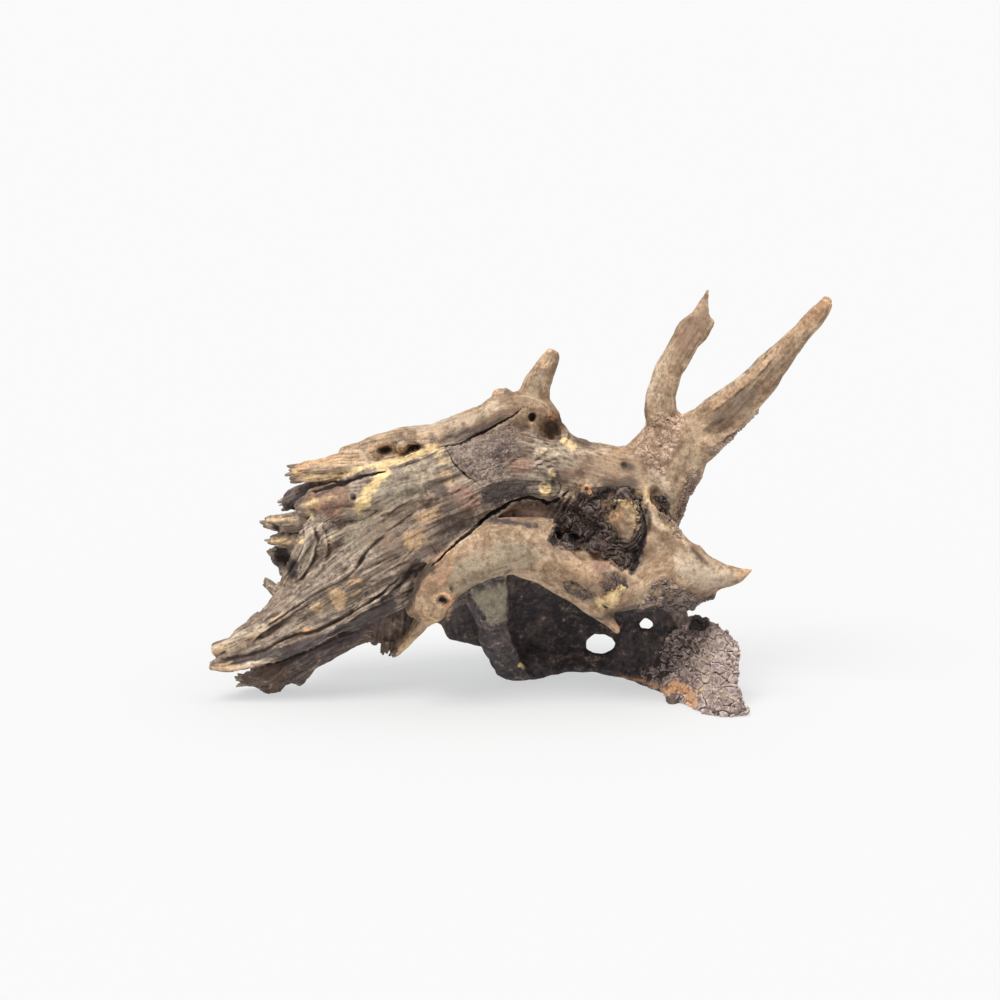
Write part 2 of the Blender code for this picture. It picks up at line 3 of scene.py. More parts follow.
import bmesh
import bpy
import numpy as np
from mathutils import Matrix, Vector


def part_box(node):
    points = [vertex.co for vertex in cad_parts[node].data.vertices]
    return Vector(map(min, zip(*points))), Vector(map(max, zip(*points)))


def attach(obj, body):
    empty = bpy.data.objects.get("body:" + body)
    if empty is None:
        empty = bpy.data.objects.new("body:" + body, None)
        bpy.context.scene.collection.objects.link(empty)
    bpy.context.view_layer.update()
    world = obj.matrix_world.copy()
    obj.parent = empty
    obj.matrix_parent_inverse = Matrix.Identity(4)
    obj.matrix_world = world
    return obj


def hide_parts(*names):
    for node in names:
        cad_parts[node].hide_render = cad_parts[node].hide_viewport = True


# A weathered driftwood trunk. Places are given as the trunk is seen from its front and viewTilt above
# the level: millimetres across and up the view, and back along the floor.

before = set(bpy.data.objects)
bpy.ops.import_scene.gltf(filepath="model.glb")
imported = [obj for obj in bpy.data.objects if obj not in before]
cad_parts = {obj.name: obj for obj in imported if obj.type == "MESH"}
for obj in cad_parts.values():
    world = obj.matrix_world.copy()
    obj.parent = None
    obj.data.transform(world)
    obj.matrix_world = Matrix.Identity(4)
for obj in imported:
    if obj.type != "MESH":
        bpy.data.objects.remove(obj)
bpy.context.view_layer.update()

mm = 0.001
viewTilt = math.radians(14.0)
floorUp = 19.0          # where the floor under the stump's middle shows, up the view
middleAcross = 28.344   # what lies over the frame's origin
middleBack = 7.91
root = "root"
trunkNode = "driftwood_trunk"

sight = np.array([0.0, math.cos(viewTilt), -math.sin(viewTilt)])


def seat(places):
    # view millimetres to the trunk's own millimetres: across, back, height
    across, up, back = np.asarray(places, float).T[:3]
    height = (up - floorUp - back * math.sin(viewTilt)) / math.cos(viewTilt)
    return np.stack([across, back, height], axis=-1)


def upTheView(points):
    return points[:, 2] * math.cos(viewTilt) + points[:, 1] * math.sin(viewTilt) + floorUp


def toFrame(points):
    return (points - [middleAcross, middleBack, 0.0]) * mm


def fromFrame(points):
    return points / mm + [middleAcross, middleBack, 0.0]


def curved(stations, perSpan):
    # a smooth curve through rows of numbers
    rows = np.asarray(stations, float)
    padded = np.vstack([rows[:1], rows, rows[-1:]])
    made = []
    for i in range(len(rows) - 1):
        a, b, c, d = padded[i:i + 4]
        for step in range(perSpan):
            t = step / perSpan
            made.append(0.5 * (2 * b + (c - a) * t + (2 * a - 5 * b + 4 * c - d) * t * t
                               + (3 * b - a - 3 * c + d) * t ** 3))
    return np.array(made + [rows[-1]])


# numbers over many points at once

draw = np.random.default_rng(417)
shuffle = np.tile(draw.permutation(256), 3)
slopes = draw.normal(size=(256, 3))
slopes /= np.linalg.norm(slopes, axis=1)[:, None]
spots = draw.random((256, 3))
noiseSpread = 1.6      # brings the noise to about -1 to 1


def hashed(cells, salt):
    x, y, z = (cells[..., k].astype(np.int64) & 255 for k in range(3))
    return shuffle[shuffle[shuffle[(x + salt) & 255] + y] + z] & 255


def noiseAt(points, salt=0):
    # smooth noise from about -1 to 1, one wave to each unit
    cell = np.floor(points)
    part = points - cell
    ease = part * part * part * (part * (part * 6 - 15) + 10)
    total = np.zeros(len(points))
    for corner in np.array(list(np.ndindex(2, 2, 2)), float):
        slope = slopes[hashed(cell + corner, salt)]
        share = np.prod(np.where(corner > 0, ease, 1 - ease), axis=1)
        total += share * np.einsum("ij,ij->i", slope, part - corner)
    return total * noiseSpread


def cellsAt(points, salt=0):
    # how much nearer the nearest spot is than the next one, and a number for its cell
    cell = np.floor(points)
    near = np.full(len(points), 9.0)
    following = np.full(len(points), 9.0)
    number = np.zeros(len(points))
    for step in np.array(list(np.ndindex(3, 3, 3))) - 1:
        corner = cell + step
        code = hashed(corner, salt)
        away = np.linalg.norm(corner + spots[code] - points, axis=1)
        closer = away < near
        following = np.where(closer, near, np.minimum(following, away))
        number = np.where(closer, code / 255.0, number)
        near = np.where(closer, away, near)
    return following - near, number


def between(value, low, high):
    # 0 below low, 1 above high, eased in between
    t = np.clip((value - low) / (high - low), 0, 1)
    return t * t * (3 - 2 * t)


def narrow(pattern, sharpness):
    # 0 on narrow lines where a pattern crosses nought, 1 between them
    return np.minimum(1.0, sharpness * abs(pattern))


def stairs(values, steps):
    # turns a slope into treads with short risers
    scaled = values * steps
    tread = np.floor(scaled)
    return (tread + between(scaled - tread, 0.72, 1.0)) / steps


# meshes as rows of numbers

def readRows(rows, field, wide, kind=np.float32):
    flat = np.zeros(len(rows) * wide, kind)
    rows.foreach_get(field, flat)
    return flat.reshape(-1, wide)


def pointsOf(mesh):
    return readRows(mesh.vertices, "co", 3).astype(float)


def meshOf(name, points, faces):
    mesh = bpy.data.meshes.new(name)
    mesh.from_pydata(points.tolist(), [], faces.tolist())
    mesh.update()
    return mesh


def place(mesh, points):
    mesh.vertices.foreach_set("co", points.astype(np.float32).ravel())
    mesh.update()


def neighbourMean(values, edges):
    # the mean over each point's neighbours, for a row of numbers or of vectors
    first = np.concatenate([edges[:, 0], edges[:, 1]])
    second = np.concatenate([edges[:, 1], edges[:, 0]])
    count = np.maximum(np.bincount(first, minlength=len(values)), 1)
    columns = values.reshape(len(values), -1)
    means = [np.bincount(first, weights=columns[second, k], minlength=len(values)) / count
             for k in range(columns.shape[1])]
    return np.stack(means, axis=1).reshape(values.shape)


def smoothed(values, edges, rounds, swell=0.0):
    # spreads values out over the mesh; swell puts back what each round shrinks
    for _ in range(rounds):
        values = values + 0.5 * (neighbourMean(values, edges) - values)
        if swell:
            values = values - swell * (neighbourMean(values, edges) - values)
    return values


def keep(mesh, name, values):
    # a number on each point, or a vector on each
    kind, field = ("FLOAT", "value") if values.ndim == 1 else ("FLOAT_VECTOR", "vector")
    layer = mesh.attributes.new(name, kind, "POINT")
    layer.data.foreach_set(field, values.astype(np.float32).ravel())


def applied(thing):
    bpy.context.view_layer.update()
    evaluated = thing.evaluated_get(bpy.context.evaluated_depsgraph_get())
    frozen = bpy.data.meshes.new_from_object(evaluated)
    thing.modifiers.clear()
    thing.data = frozen


def addObject(name, mesh):
    made = bpy.data.objects.new(name, mesh)
    bpy.context.scene.collection.objects.link(made)
    return made


def thinned(thing, triangles):
    thing.data.calc_loop_triangles()
    have = len(thing.data.loop_triangles)
    if have > triangles:
        modifier = thing.modifiers.new("thin", "DECIMATE")
        modifier.ratio = triangles / have
        modifier.use_collapse_triangulate = True
        applied(thing)


# The grain: for each limb how fibrous its surface is, what tone its wood has, its run through across, up,
# back and radius for each place, and how crinkled it is.

def run(fibre, tone, *numbers, crinkle=0.0):
    return dict(run=np.reshape(numbers, (-1, 4)), fibre=fibre, tone=tone, crinkle=crinkle)


grainRuns = {
    "heart": run(1.0, "grey", -118, 122, 4, 28, -60, 153, 0, 48, -22, 170, -2, 44, 15, 185, 0, 41, 52, 185,
        0, 32, 85, 178, 0, 28),
    "shoulder": run(0.25, "tan", 30, 194, 2, 22, 78, 180, -2, 28, 104, 173, -2, 29, 130, 172, 0, 27, 146,
        182, 4, 20),
    "rearSwell": run(0.7, "grey", -70, 143, 26, 22, -20, 154, 34, 31, 35, 165, 36, 33, 85, 165, 28, 28, 120,
        160, 16, 18),
    "underHeart": run(0.3, "dark", 10, 168, 4, 34, 45, 140, 2, 34, 80, 125, -4, 32, 112, 118, -12, 26),
    "topRidge": run(0.45, "tan", -104, 192, 4, 8, -78, 200, 4, 10, -50, 205.5, -1, 11, -24, 211, -6, 12, 0,
        219, -9, 12, 18, 228, -7, 13, 40, 225, -2, 15, 58, 205, 3, 13, 78, 192, 2, 12),
    "stub": run(0.35, "tan", 36, 224, 2, 15, 40, 238, 2, 11.5, 43.5, 248, 3, 9.5, 49, 260, 5, 7.5, 53, 269,
        7, 6.2, 54.5, 272.5, 7.5, 5),
    "upperSliver": run(1.0, "grey", -201, 49, -34, 5, -186, 54, -34, 7, -160, 67, -34, 10, -128, 86, -32,
        14, -90, 108, -30, 20, -48, 130, -24, 23, 0, 152, -14, 22),
    "lowerSliver": run(1.0, "grey", -203, 36, -40, 5, -186, 38, -40, 6, -158, 48, -38, 9, -122, 66, -36, 12,
        -84, 86, -33, 15, -46, 107, -28, 16, -12, 132, -22, 15),
    "steppedRidge": run(1.0, "grey", -170, 68, -22, 6, -155, 76, -24, 8, -128, 94, -26, 13, -98, 118, -28,
        17, -60, 144, -26, 19),
    "slab": run(0.9, "dark", -181, 27, -12, 5, -170, 27, -12, 9, -152, 33, -12, 12, -126, 50, -8, 14, -98,
        63, 6, 13, -62, 74, 10, 16, -28, 92, 10, 19, 10, 118, 4, 24),
    "footToe": run(0.6, "dark", -157, 10, -8, 8, -158, 20, -8, 9, -150, 32, -6, 11),
    "innerToe": run(0.6, "dark", -135, 21, -6, 4, -137, 28, -5, 7, -128, 44, 0, 11),
    "curledRidge": run(1.0, "grey", -144, 100, -22, 5, -137, 112, -26, 7, -128, 128, -28, 10, -112, 142,
        -26, 13, -84, 152, -22, 17),
    "lowerFinger": run(0.9, "grey", -162, 99, 6, 3, -150, 92, 0, 7, -136, 97, -4, 12, -112, 110, -6, 19),
    "hollowRoof": run(0.9, "dark", -157, 124, 16, 4, -150, 119, 18, 8, -130, 120, 16, 14, -100, 126, 10, 20),
    "thinFinger": run(0.9, "grey", -159, 130, 2, 3, -148, 131, 2, 5, -130, 133, 0, 8, -104, 136, -4, 13),
    "midFinger": run(0.9, "grey", -161, 145, 0, 5, -148, 144, -2, 7, -128, 146, -6, 10, -98, 150, -10, 16),
    "broadFinger": run(0.8, "grey", -136, 155, -14, 6, -124, 158, -16, 9, -104, 161, -20, 13, -76, 164, -22,
        17, -40, 172, -22, 21),
    "highFinger": run(0.9, "dark", -148, 158, 16, 5, -140, 162, 15, 8, -122, 168, 13, 11, -92, 176, 8, 15),
    "topFinger": run(0.9, "tan", -140, 181, 0, 6, -128, 183.5, -2, 8, -108, 186, -4, 10, -82, 187, -6, 11,
        -55, 192, -8, 13, -20, 196, -8, 17),
    "curtain": run(0.9, "dark", -68, 48, -8, 6, -66, 66, -8, 12, -64, 84, -4, 16, -60, 106, 0, 18),
    "curtainStub": run(0.8, "tan", -65, 44, -12, 2, -60, 50, -14, 4, -50, 62, -18, 6, -38, 76, -20, 8),
    "arch": run(0.12, "tan", -37, 75, -54, 8, -37, 82, -58, 13, -33, 93, -58, 15.5, -20, 107, -56, 17, -2,
        119, -52, 19, 22, 127, -46, 20.5, 46, 124, -42, 22, 68, 113, -42, 20, 86, 103, -44, 16, 100, 99,
        -46, 11),
    "spur": run(0.2, "tan", 44, 110, -40, 12, 62, 98, -44, 10, 78, 86.5, -48, 8, 90, 77, -51, 6, 99, 68.5,
        -53, 4, 103.5, 62.5, -54, 3),
    "hornRoot": run(0.15, "tan", 84, 90, -46, 10, 98, 88, -50, 11, 114, 93, -50, 15, 132, 103, -46, 18, 150,
        110, -42, 19, 167, 106, -40, 14, 182, 104, -40, 9, 192, 105.5, -41, 6, 203, 110.5, -42, 2),
    "rim": run(0.15, "tan", 150, 120, -42, 15, 140, 134, -38, 12, 130, 148, -32, 10, 124, 161, -24, 10, 116,
        176, -14, 10),
    "underBurl": run(0.15, "tan", 92, 100, -34, 16, 112, 108, -32, 19, 122, 128, -24, 19, 112, 150, -16, 17),
    "neck": run(0.2, "tan", 118, 168, 0, 22, 133, 184, 4, 25, 147, 203, 8, 22, 155, 216, 9, 17, crinkle=0.5),
    "leftAntler": run(0.45, "tan", 140, 208, 8, 14, 136.5, 224, 11, 12, 136, 240, 14, 10, 141, 258, 19, 9,
        151.5, 276, 24, 9, 160, 290, 28, 8.5, 165.5, 302, 30, 6, 171.5, 321, 34, 2),
    "rightAntler": run(0.45, "tan", 150, 204, 8, 17, 167, 212, 4, 16, 185, 227, -3, 14, 203, 246, -10, 11.5,
        219, 265, -16, 9.7, 233, 280, -20, 8, 245.5, 294.5, -23, 7, 256.5, 309, -26, 4.4),
    "strip": run(0.25, "tan", 145, 134, -10, 5, 145.5, 143, -4, 6, 147, 156, 2, 8, 148.5, 172, 6, 9, 153.5,
        190, 8, 10, 161, 206, 6, 10, crinkle=0.3),
    "shellRoof": run(0.12, "shell", 8, 118, 2, 14, 40, 112, 18, 16, 68, 108, 26, 18, 95, 102, 22, 18, 120,
        95, 8, 16, 150, 85, -15, 12),
    "shellMiddle": run(0.12, "shell", 16, 74, 22, 14, 41, 70, 40, 16, 68, 66, 48, 18, 94, 65, 44, 18, 120,
        63, 27, 16, 146, 58, 2, 14),
    "shellFloor": run(0.12, "shell", 22, 38, 28, 14, 42, 38, 38, 16, 68, 38, 46, 18, 94, 36, 38, 18, 122,
        33, 16, 16, 147, 26, -15, 13),
    "lobeTop": run(0.1, "lobe", 158, 68, -4, 12, 168, 62, -18, 13, 180, 56, -30, 12, 193, 48, -40, 8),
    "lobeFoot": run(0.1, "lobe", 150, 24, -24, 12, 165, 20, -42, 14, 178, 14, -58, 14, 195, 14, -66, 9),
    "peg": run(0.3, "dark", 144, 4, -40, 5, 145, 16, -34, 6, 146, 28, -22, 8),
    "flange": run(0.15, "dark", 112, 90, -38, 9, 132, 94, -36, 10, 152, 92, -36, 10, 168, 90, -36, 7),
    "pillarFin": run(0.35, "shell", 38, 24, 28, 12, 18, 48, -3, 12, 8, 68, -27, 12, 5, 86, -41, 13, 4, 106,
        -44, 15),
    "innerWall": run(0.3, "shell", -10, 53, 14, 9, -16, 70, 9, 10, -16, 92, 3, 14),
    "rearRoot": run(0.8, "grey", 47, 38, 80, 10, 46, 52, 80, 11, 43, 78, 78, 12.5, 38, 108, 70, 15, 30, 140,
        52, 19, 20, 168, 30, 24),
}
tones = ("grey", "tan", "dark", "shell", "lobe")
ringStep = 2.0     # mm between the rings that a place is measured from
spanSteps = 12     # steps of the curve between two places of a run
limbShift = 61.0   # mm along the grain from one limb's patterns to the next one's
farOff = 99.0      # radii or mm off, for what nothing has come near
batchSize = 40000  # points measured at once


class Limb:
    # rings along one run, each with its own directions, so that a place can be told along and round the grain
    def __init__(self, number, run, fibre, crinkle, tone):
        rows = curved(run, spanSteps)
        centres = seat(rows)
        steps = np.linalg.norm(np.diff(centres, axis=0), axis=1)
        lengths = np.concatenate([[0.0], np.cumsum(steps)])
        at = np.arange(0.0, lengths[-1], ringStep)
        self.centres = np.stack([np.interp(at, lengths, centres[:, k]) for k in range(3)], axis=1)
        self.radius = np.interp(at, lengths, rows[:, 3])
        self.travelled = at + limbShift * number
        along = np.gradient(self.centres, axis=0)
        self.along = along / np.linalg.norm(along, axis=1)[:, None]
        side = np.cross(self.along, sight)
        self.side = side / np.maximum(np.linalg.norm(side, axis=1), 1e-6)[:, None]
        self.depth = np.cross(self.side, self.along)
        self.fibre, self.crinkle, self.tone = fibre, crinkle, tone

    def measure(self, points):
        # how many radii off the run each point lies, and its place in the grain: side, depth, along
        share = np.full(len(points), farOff)
        grain = np.zeros((len(points), 3))
        reach = 2.2 * self.radius.max()
        low, high = self.centres.min(0) - reach, self.centres.max(0) + reach
        inside = np.where(np.all((points > low) & (points < high), axis=1))[0]
        middles = self.centres.astype(np.float32)
        squares = (middles ** 2).sum(1)
        for batch in np.array_split(inside, max(1, len(inside) // batchSize)):
            here = points[batch]
            ring = (squares - 2 * here.astype(np.float32) @ middles.T).argmin(1)
            offset = here - self.centres[ring]
            run = np.einsum("ij,ij->i", offset, self.along[ring])
            across = np.einsum("ij,ij->i", offset, self.side[ring])
            deep = np.einsum("ij,ij->i", offset, self.depth[ring])
            atEnd = (ring == 0) | (ring == len(self.centres) - 1)
            past = np.where(atEnd, np.maximum(abs(run) - ringStep, 0), 0)
            share[batch] = np.sqrt(across ** 2 + deep ** 2 + past ** 2) / self.radius[ring]
            grain[batch] = np.stack([across, deep, self.travelled[ring] + run], axis=1)
        return share, grain


class Grain:
    # the two limbs that each point belongs to most
    def __init__(self, points, limbs):
        count = len(points)
        self.share = np.full((2, count), farOff)
        self.place = np.zeros((2, count, 3))
        self.limb = np.zeros((2, count), int)
        for number, limb in enumerate(limbs):
            share, grain = limb.measure(points)
            first = share < self.share[0]
            second = ~first & (share < self.share[1])
            self.share[1][first], self.place[1][first] = self.share[0][first], self.place[0][first]
            self.limb[1][first] = self.limb[0][first]
            self.share[0][first], self.place[0][first], self.limb[0][first] = share[first], grain[first], number
            self.share[1][second], self.place[1][second] = share[second], grain[second]
            self.limb[1][second] = number
        self.sure = between(self.share[1] - self.share[0], 0.0, 0.35)
        self.weight = 0.5 + 0.5 * self.sure
        self.limbs = limbs

    def mixed(self, formula):
        # a pattern worked out in both limbs' grain, blended where they meet
        return self.weight * formula(self.place[0]) + (1 - self.weight) * formula(self.place[1])

    def ofLimb(self, read):
        values = np.array([float(read(limb)) for limb in self.limbs])
        return self.weight * values[self.limb[0]] + (1 - self.weight) * values[self.limb[1]]


limbs = [Limb(number, **facts) for number, facts in enumerate(grainRuns.values())]


# Marks on the front, where the view shows them: across and up of each point. A line starts with half its
# width and its strength, an area with the softness of its edge and its strength.

def line(size, strength, *numbers):
    return "line", np.reshape(numbers, (-1, 2)), size, strength


def area(size, strength, *numbers):
    return "area", np.reshape(numbers, (-1, 2)), size, strength


tints = {
    "yellow": [
        line(4.9, 1, -70.5, 183, -81, 170.2, -88.5, 155.2),
        line(3.8, 0.8, -71.2, 187.5, -58.5, 192, -45, 196.5, -31.5, 201),
        line(4.5, 0.45, -33, 199.5, -25.5, 191.2),
        line(2.6, 0.55, -141, 185.2, -130.5, 178.5, -105, 180, -72, 188.2),
        line(2.6, 0.45, -123, 174.8, -112.5, 175.5, -97.5, 180.8),
        line(2.2, 0.6, -131.2, 156.8, -121.5, 161.2), line(2.2, 0.5, -159, 146.2, -142.5, 147.8),
        line(3, 0.55, -157.5, 129.8, -131.2, 131.2), line(2.2, 0.6, -129, 152.2, -125.2, 147.8),
        line(2.2, 0.45, -108.8, 132.8, -112.5, 127.5),
        area(0.8, 1, 45.8, 173.2, 51.8, 173.2, 54, 167.2, 49.5, 163.5, 44.2, 167.2),
        line(2.2, 0.7, 51.8, 181.5, 54, 179.2), line(3, 0.75, 61.5, 206.2, 69.8, 200.2),
        line(3, 0.35, 45, 195, 60, 198), line(3.8, 0.8, 88.5, 86.2, 96, 89.2, 103.5, 95.2),
        line(3, 0.7, 92.2, 81.8, 102, 86.2), line(2.2, 0.5, 122.2, 170.2, 125.2, 156.8),
        line(2.2, 0.35, 131.2, 144, 147, 136.5, 153, 129.8),
        line(3.8, 0.5, 104.2, 159, 111, 155.2, 113.2, 143.2), line(1.9, 0.9, 30, 36, 33, 34.5),
        line(2.2, 0.45, -61.5, 45, -54, 50.2), line(3, 0.3, 165, 18.8, 169.5, 26.2),
        line(2.2, 0.4, 255, 306.8, 257.2, 300.8), line(2.2, 0.2, 51, 273.8, 57, 273.8),
    ],
    "bare": [
        area(1.9, 0.9, -114, 93.8, -105, 96.8, -97.5, 92.2, -100.5, 81.8, -105, 77.2, -109.5, 84.8),
        area(1.5, 0.85, -127.5, 81.8, -121.5, 86.2, -115.5, 83.2, -118.5, 77.2, -126, 77.2),
        line(2.2, 0.8, -96, 99.8, -90, 102), line(2.2, 0.7, -94.5, 92.2, -90, 93.8),
        line(2.2, 0.8, -135, 62.2, -121.5, 65.2), line(2.2, 0.6, -159, 146.2, -135, 146.2),
        line(3, 0.7, -156, 130.5, -132, 131.2), line(4.5, 0.6, -138, 189.8, -112.5, 189.8, -90, 189.8),
        line(3.8, 0.6, -127.5, 155.2, -118.5, 161.2, -109.5, 162.8),
        line(3, 0.6, -201, 47.2, -180, 54, -163.5, 60.8), line(3, 0.6, -201, 35.2, -180, 38.2),
        line(2.2, 0.5, -157.5, 67.5, -145.5, 77.2),
        area(1.5, 0.7, -45, 78.8, -30, 81.8, -18.8, 83.2, -22.5, 74.2, -36, 68.2, -44.2, 71.2),
        area(3, 0.7, -46.5, 152.2, -30, 156.8, -25.5, 149.2, -37.5, 143.2, -48, 143.2),
        area(3, 0.7, -57, 138.8, -42, 140.2, -36, 131.2, -45, 122.2, -57, 125.2),
        area(2.2, 0.6, -30, 185.2, -21, 183.8, -16.5, 171.8, -25.5, 170.2, -31.5, 176.2),
        line(6.8, 0.4, 105, 195, 90, 191.2), line(2.2, 0.6, 94.5, 65.2, 102, 63),
        line(3, 0.7, -63.8, 45, -51, 56.2), line(3, 0.5, -22.5, 83.2, -45, 56.2),
        line(2.2, 0.5, 120, 177.8, 127.5, 161.2, 138, 143.2, 154.5, 134.2),
        line(2.2, 0.3, 90, 146.2, 93, 138.8), line(2.2, 0.4, 81, 77.2, 94.5, 83.2),
    ],
    "pale": [
        area(3.8, 0.75, 144, 125.2, 165, 116.2, 191.2, 108.8, 193.5, 101.2, 165, 92.2, 144, 107.2),
        area(3.8, 0.6, -60, 218.2, -7.5, 227.2, 15, 237.8, 19.5, 230.2, -7.5, 218.2, -45, 209.2),
        line(5.2, 0.55, 131.2, 183.8, 141, 161.2, 138, 146.2),
        line(5.2, 0.5, 127.5, 236.2, 132, 257.2, 142.5, 277.5),
        line(4.5, 0.95, -199.5, 48.8, -180, 56.2, -159, 65.2),
        line(3.4, 0.9, -198.8, 35.2, -172.5, 38.2, -150, 45.8),
        line(3.8, 0.5, -135, 183.8, -105, 186.8, -82.5, 189.8),
        line(3.8, 0.5, 165, 232.5, 195, 251.2, 217.5, 272.2),
        line(3, 0.6, 123, 161.2, 129, 146.2, 147, 134.2, 157.5, 122.2), line(3.8, 0.3, 30, 257.2, 24, 243.8),
        line(6, 0.4, -51, 183.8, -33, 176.2, -37.5, 161.2), line(4.5, 0.5, 39, 195, 71.2, 197.2),
        area(4.5, 0.5, 157.5, 56.2, 181.5, 56.2, 193.5, 41.2, 191.2, 11.2, 168.8, 11.2, 157.5, 33.8),
        line(5.2, 0.3, 15, 127.5, 37.5, 125.2, 60, 119.2),
        line(3.8, 0.35, -127.5, 116.2, -135, 101.2, -138, 89.2),
    ],
    "orange": [
        line(4.5, 0.75, -138.8, 188.2, -133.5, 183.8), line(3, 0.55, -81, 200.2, -66, 204.8),
        line(2.2, 0.4, -136.5, 186.8, -112.5, 191.2, -97.5, 192.8),
        area(3, 0.35, -46.5, 97.5, -39, 116.2, -24, 125.2, -13.5, 127.5, -18.8, 108.8, -30, 93.8, -41.2,
            87.8), line(2, 0.9, -21, 90.8, -20.2, 85.5, -25.5, 82.5),
        line(1.4, 0.7, -34.5, 90.8, -27, 92.2, -21, 89.2),
        line(5.2, 0.3, 60, 114.8, 82.5, 107.2, 91.5, 101.2), line(3.4, 0.8, 99.8, 147.8, 102.8, 152.2),
        line(2.2, 0.5, 105.8, 158.2, 110.2, 159.8), line(3, 0.8, 77.2, 171, 81, 168.8),
        line(3, 0.7, 193.5, 105.8, 202.5, 110.2), line(2.2, 0.8, 105, 63.8, 100.5, 67.5),
        line(3.8, 1, 139.5, 18, 146.2, 21, 153.8, 19.5, 158.2, 14.2, 159, 7.5),
        line(2.2, 0.55, 108.8, 27, 129, 21.8, 138.8, 17.2), line(2.6, 0.7, 10.5, 242.2, 15, 245.2),
        line(2.2, 0.7, 51, 227.2, 54.8, 223.5), line(6, 0.55, 240, 291.8, 259.5, 310.5),
        line(3, 0.5, 171, 231, 190.5, 245.2, 205.5, 258, 214.5, 268.5),
        line(5.2, 0.35, 217.5, 273.8, 240, 291.8), line(3.8, 0.3, 48.8, 272.2, 43.5, 257.2),
        line(1.9, 0.9, -130.5, 65.2, -123, 63.8), line(2.2, 0.35, -148.5, 29.2, -135, 36.8),
        line(3, 0.4, -105, 95.2, -99, 86.2),
    ],
    "pink": [
        area(2.2, 0.85, -18.8, 173.2, -7.5, 174, 0.8, 162.8, -1.5, 150.8, -13.5, 152.2, -24.8, 162.8),
        area(2.2, 0.9, 18.8, 189.8, 33, 195, 40.5, 189.8, 37.5, 182.2, 24, 180.8),
        area(2.2, 0.8, 16.5, 155.2, 45, 157.5, 54, 150.8, 37.5, 145.5, 15, 147),
        area(6, 0.35, 37.5, 202.5, 60, 198.8, 90, 195, 90, 176.2, 60, 177.8, 39, 189.8),
        area(1.9, 0.9, 84, 119.2, 94.5, 121.5, 97.5, 113.2, 90, 105.8, 82.5, 110.2),
        area(3, 0.6, -123.8, 168.8, -101.2, 172.5, -96, 157.5, -105, 149.2, -126, 152.2, -131.2, 161.2),
        line(6, 0.45, -202.5, 39.8, -172.5, 56.2), line(4.5, 0.55, -202.5, 32.2, -176.2, 38.2),
        line(3.8, 0.4, -201, 50.2, -183.8, 59.2),
        area(5.2, 0.5, 120, 221.2, 153, 225.8, 153, 202.5, 136.5, 180.8, 114, 183.8),
        line(7.5, 0.5, 150, 277.5, 165, 297.8), line(3.8, 0.3, 156, 299.2, 171, 317.2),
        area(4.5, 0.4, 120, 26.2, 157.5, 35.2, 191.2, 48.8, 198.8, 7.5, 165, 0.8, 138, 15.8),
        line(6, 0.25, -97.5, 116.2, -78.8, 138.8), line(4.5, 0.3, 165, 93.8, 191.2, 101.2),
        line(4.5, 0.2, 60, 101.2, 82.5, 86.2), line(6.8, 0.35, -52.5, 116.2, -30, 131.2),
        line(6, 0.4, -45, 146.2, -26.2, 152.2),
    ],
    "charcoal": [
        area(4.5, 0.55, -26.2, 167.2, -15, 162.8, 0, 149.2, 15, 159.8, 30, 162.8, -7.5, 137.2, -26.2, 122.2,
            -41.2, 116.2, -56.2, 99.8, -61.5, 107.2, -48.8, 123.8, -36, 140.2),
        area(3, 0.6, -33.8, 180, -24.8, 177.8, -22.5, 164.2, -31.5, 161.2, -37.5, 170.2),
        area(3, 0.75, 0, 168.8, 22.5, 177.8, 41.2, 176.2, 45, 164.2, 22.5, 161.2, 3, 156.8),
        line(3.8, 0.5, -101.2, 69.8, -120, 71.2, -127.5, 78.8), line(3, 0.5, -135, 89.2, -112.5, 92.2),
        line(3.4, 1, -66, 87.8, -96, 68.2, -135, 53.2, -159, 45.8, -183, 41.2),
        line(5.2, 1, -66, 81.8, -97.5, 61.5, -130.5, 48.8, -150, 41.2),
        line(2.2, 0.4, -159, 65.2, -138, 78.8), line(2.2, 0.4, -163.5, 60.8, -141, 69.8),
        line(4.5, 0.55, -25.5, 205.5, -3, 213, 18.8, 223.5), line(3.8, 0.7, -69, 197.2, -72, 199.5),
        line(1.9, 0.7, -121.5, 163.5, -100.5, 174, -73.5, 182.2), line(2.6, 0.7, 7.5, 146.2, 41.2, 142.5),
        line(3.8, 0.6, 56.2, 180, 60, 174.8), line(2.2, 0.8, 54.8, 173.2, 54, 177.8, 57, 180.8),
        area(3.8, 0.7, 88.5, 177.8, 112.5, 180.8, 120, 173.2, 117, 168.8, 90, 168.8),
        line(3.8, 0.8, 107.2, 186.8, 111, 186), line(3.8, 0.3, 120, 195, 127.5, 187.5),
        line(3, 0.6, 71.2, 206.2, 81, 203.2), line(3, 0.7, -93.8, 165, -93, 159.8),
        line(2.2, 0.3, -105, 142.5, -108, 127.5), line(3.8, 0.7, -135, 161.2, -147, 155.2),
        line(3, 0.7, 84, 73.5, 99, 76.5, 115.5, 82.5), line(5.2, 0.4, 84, 84.8, 66, 95.2),
        line(3.8, 0.6, 120, 125.2, 114, 110.2),
        area(3.8, 0.45, 168, 222.8, 190.5, 242.2, 204, 248.2, 210, 243.8, 196.5, 227.2, 183, 212.2, 171,
            206.2), line(3, 0.6, 19.5, 242.2, 24, 240.8), line(3.8, 0.3, -82.5, 101.2, -66, 116.2),
        line(3, 0.3, 0, 125.2, 15, 127.5, 30, 123.8), line(1.9, 0.7, -21, 98.2, -21, 93.8),
        line(1.9, 0.8, 157.5, 125.2, 165, 116.2, 172.5, 111),
    ],
    # painted shade: near-black patches laid in holes, dents and crevices
    "holeShade": [
        area(3, 0.35, 51, 205.5, 51, 209.2, 57, 211.5, 61.5, 207.8, 63, 203.2, 57, 204),
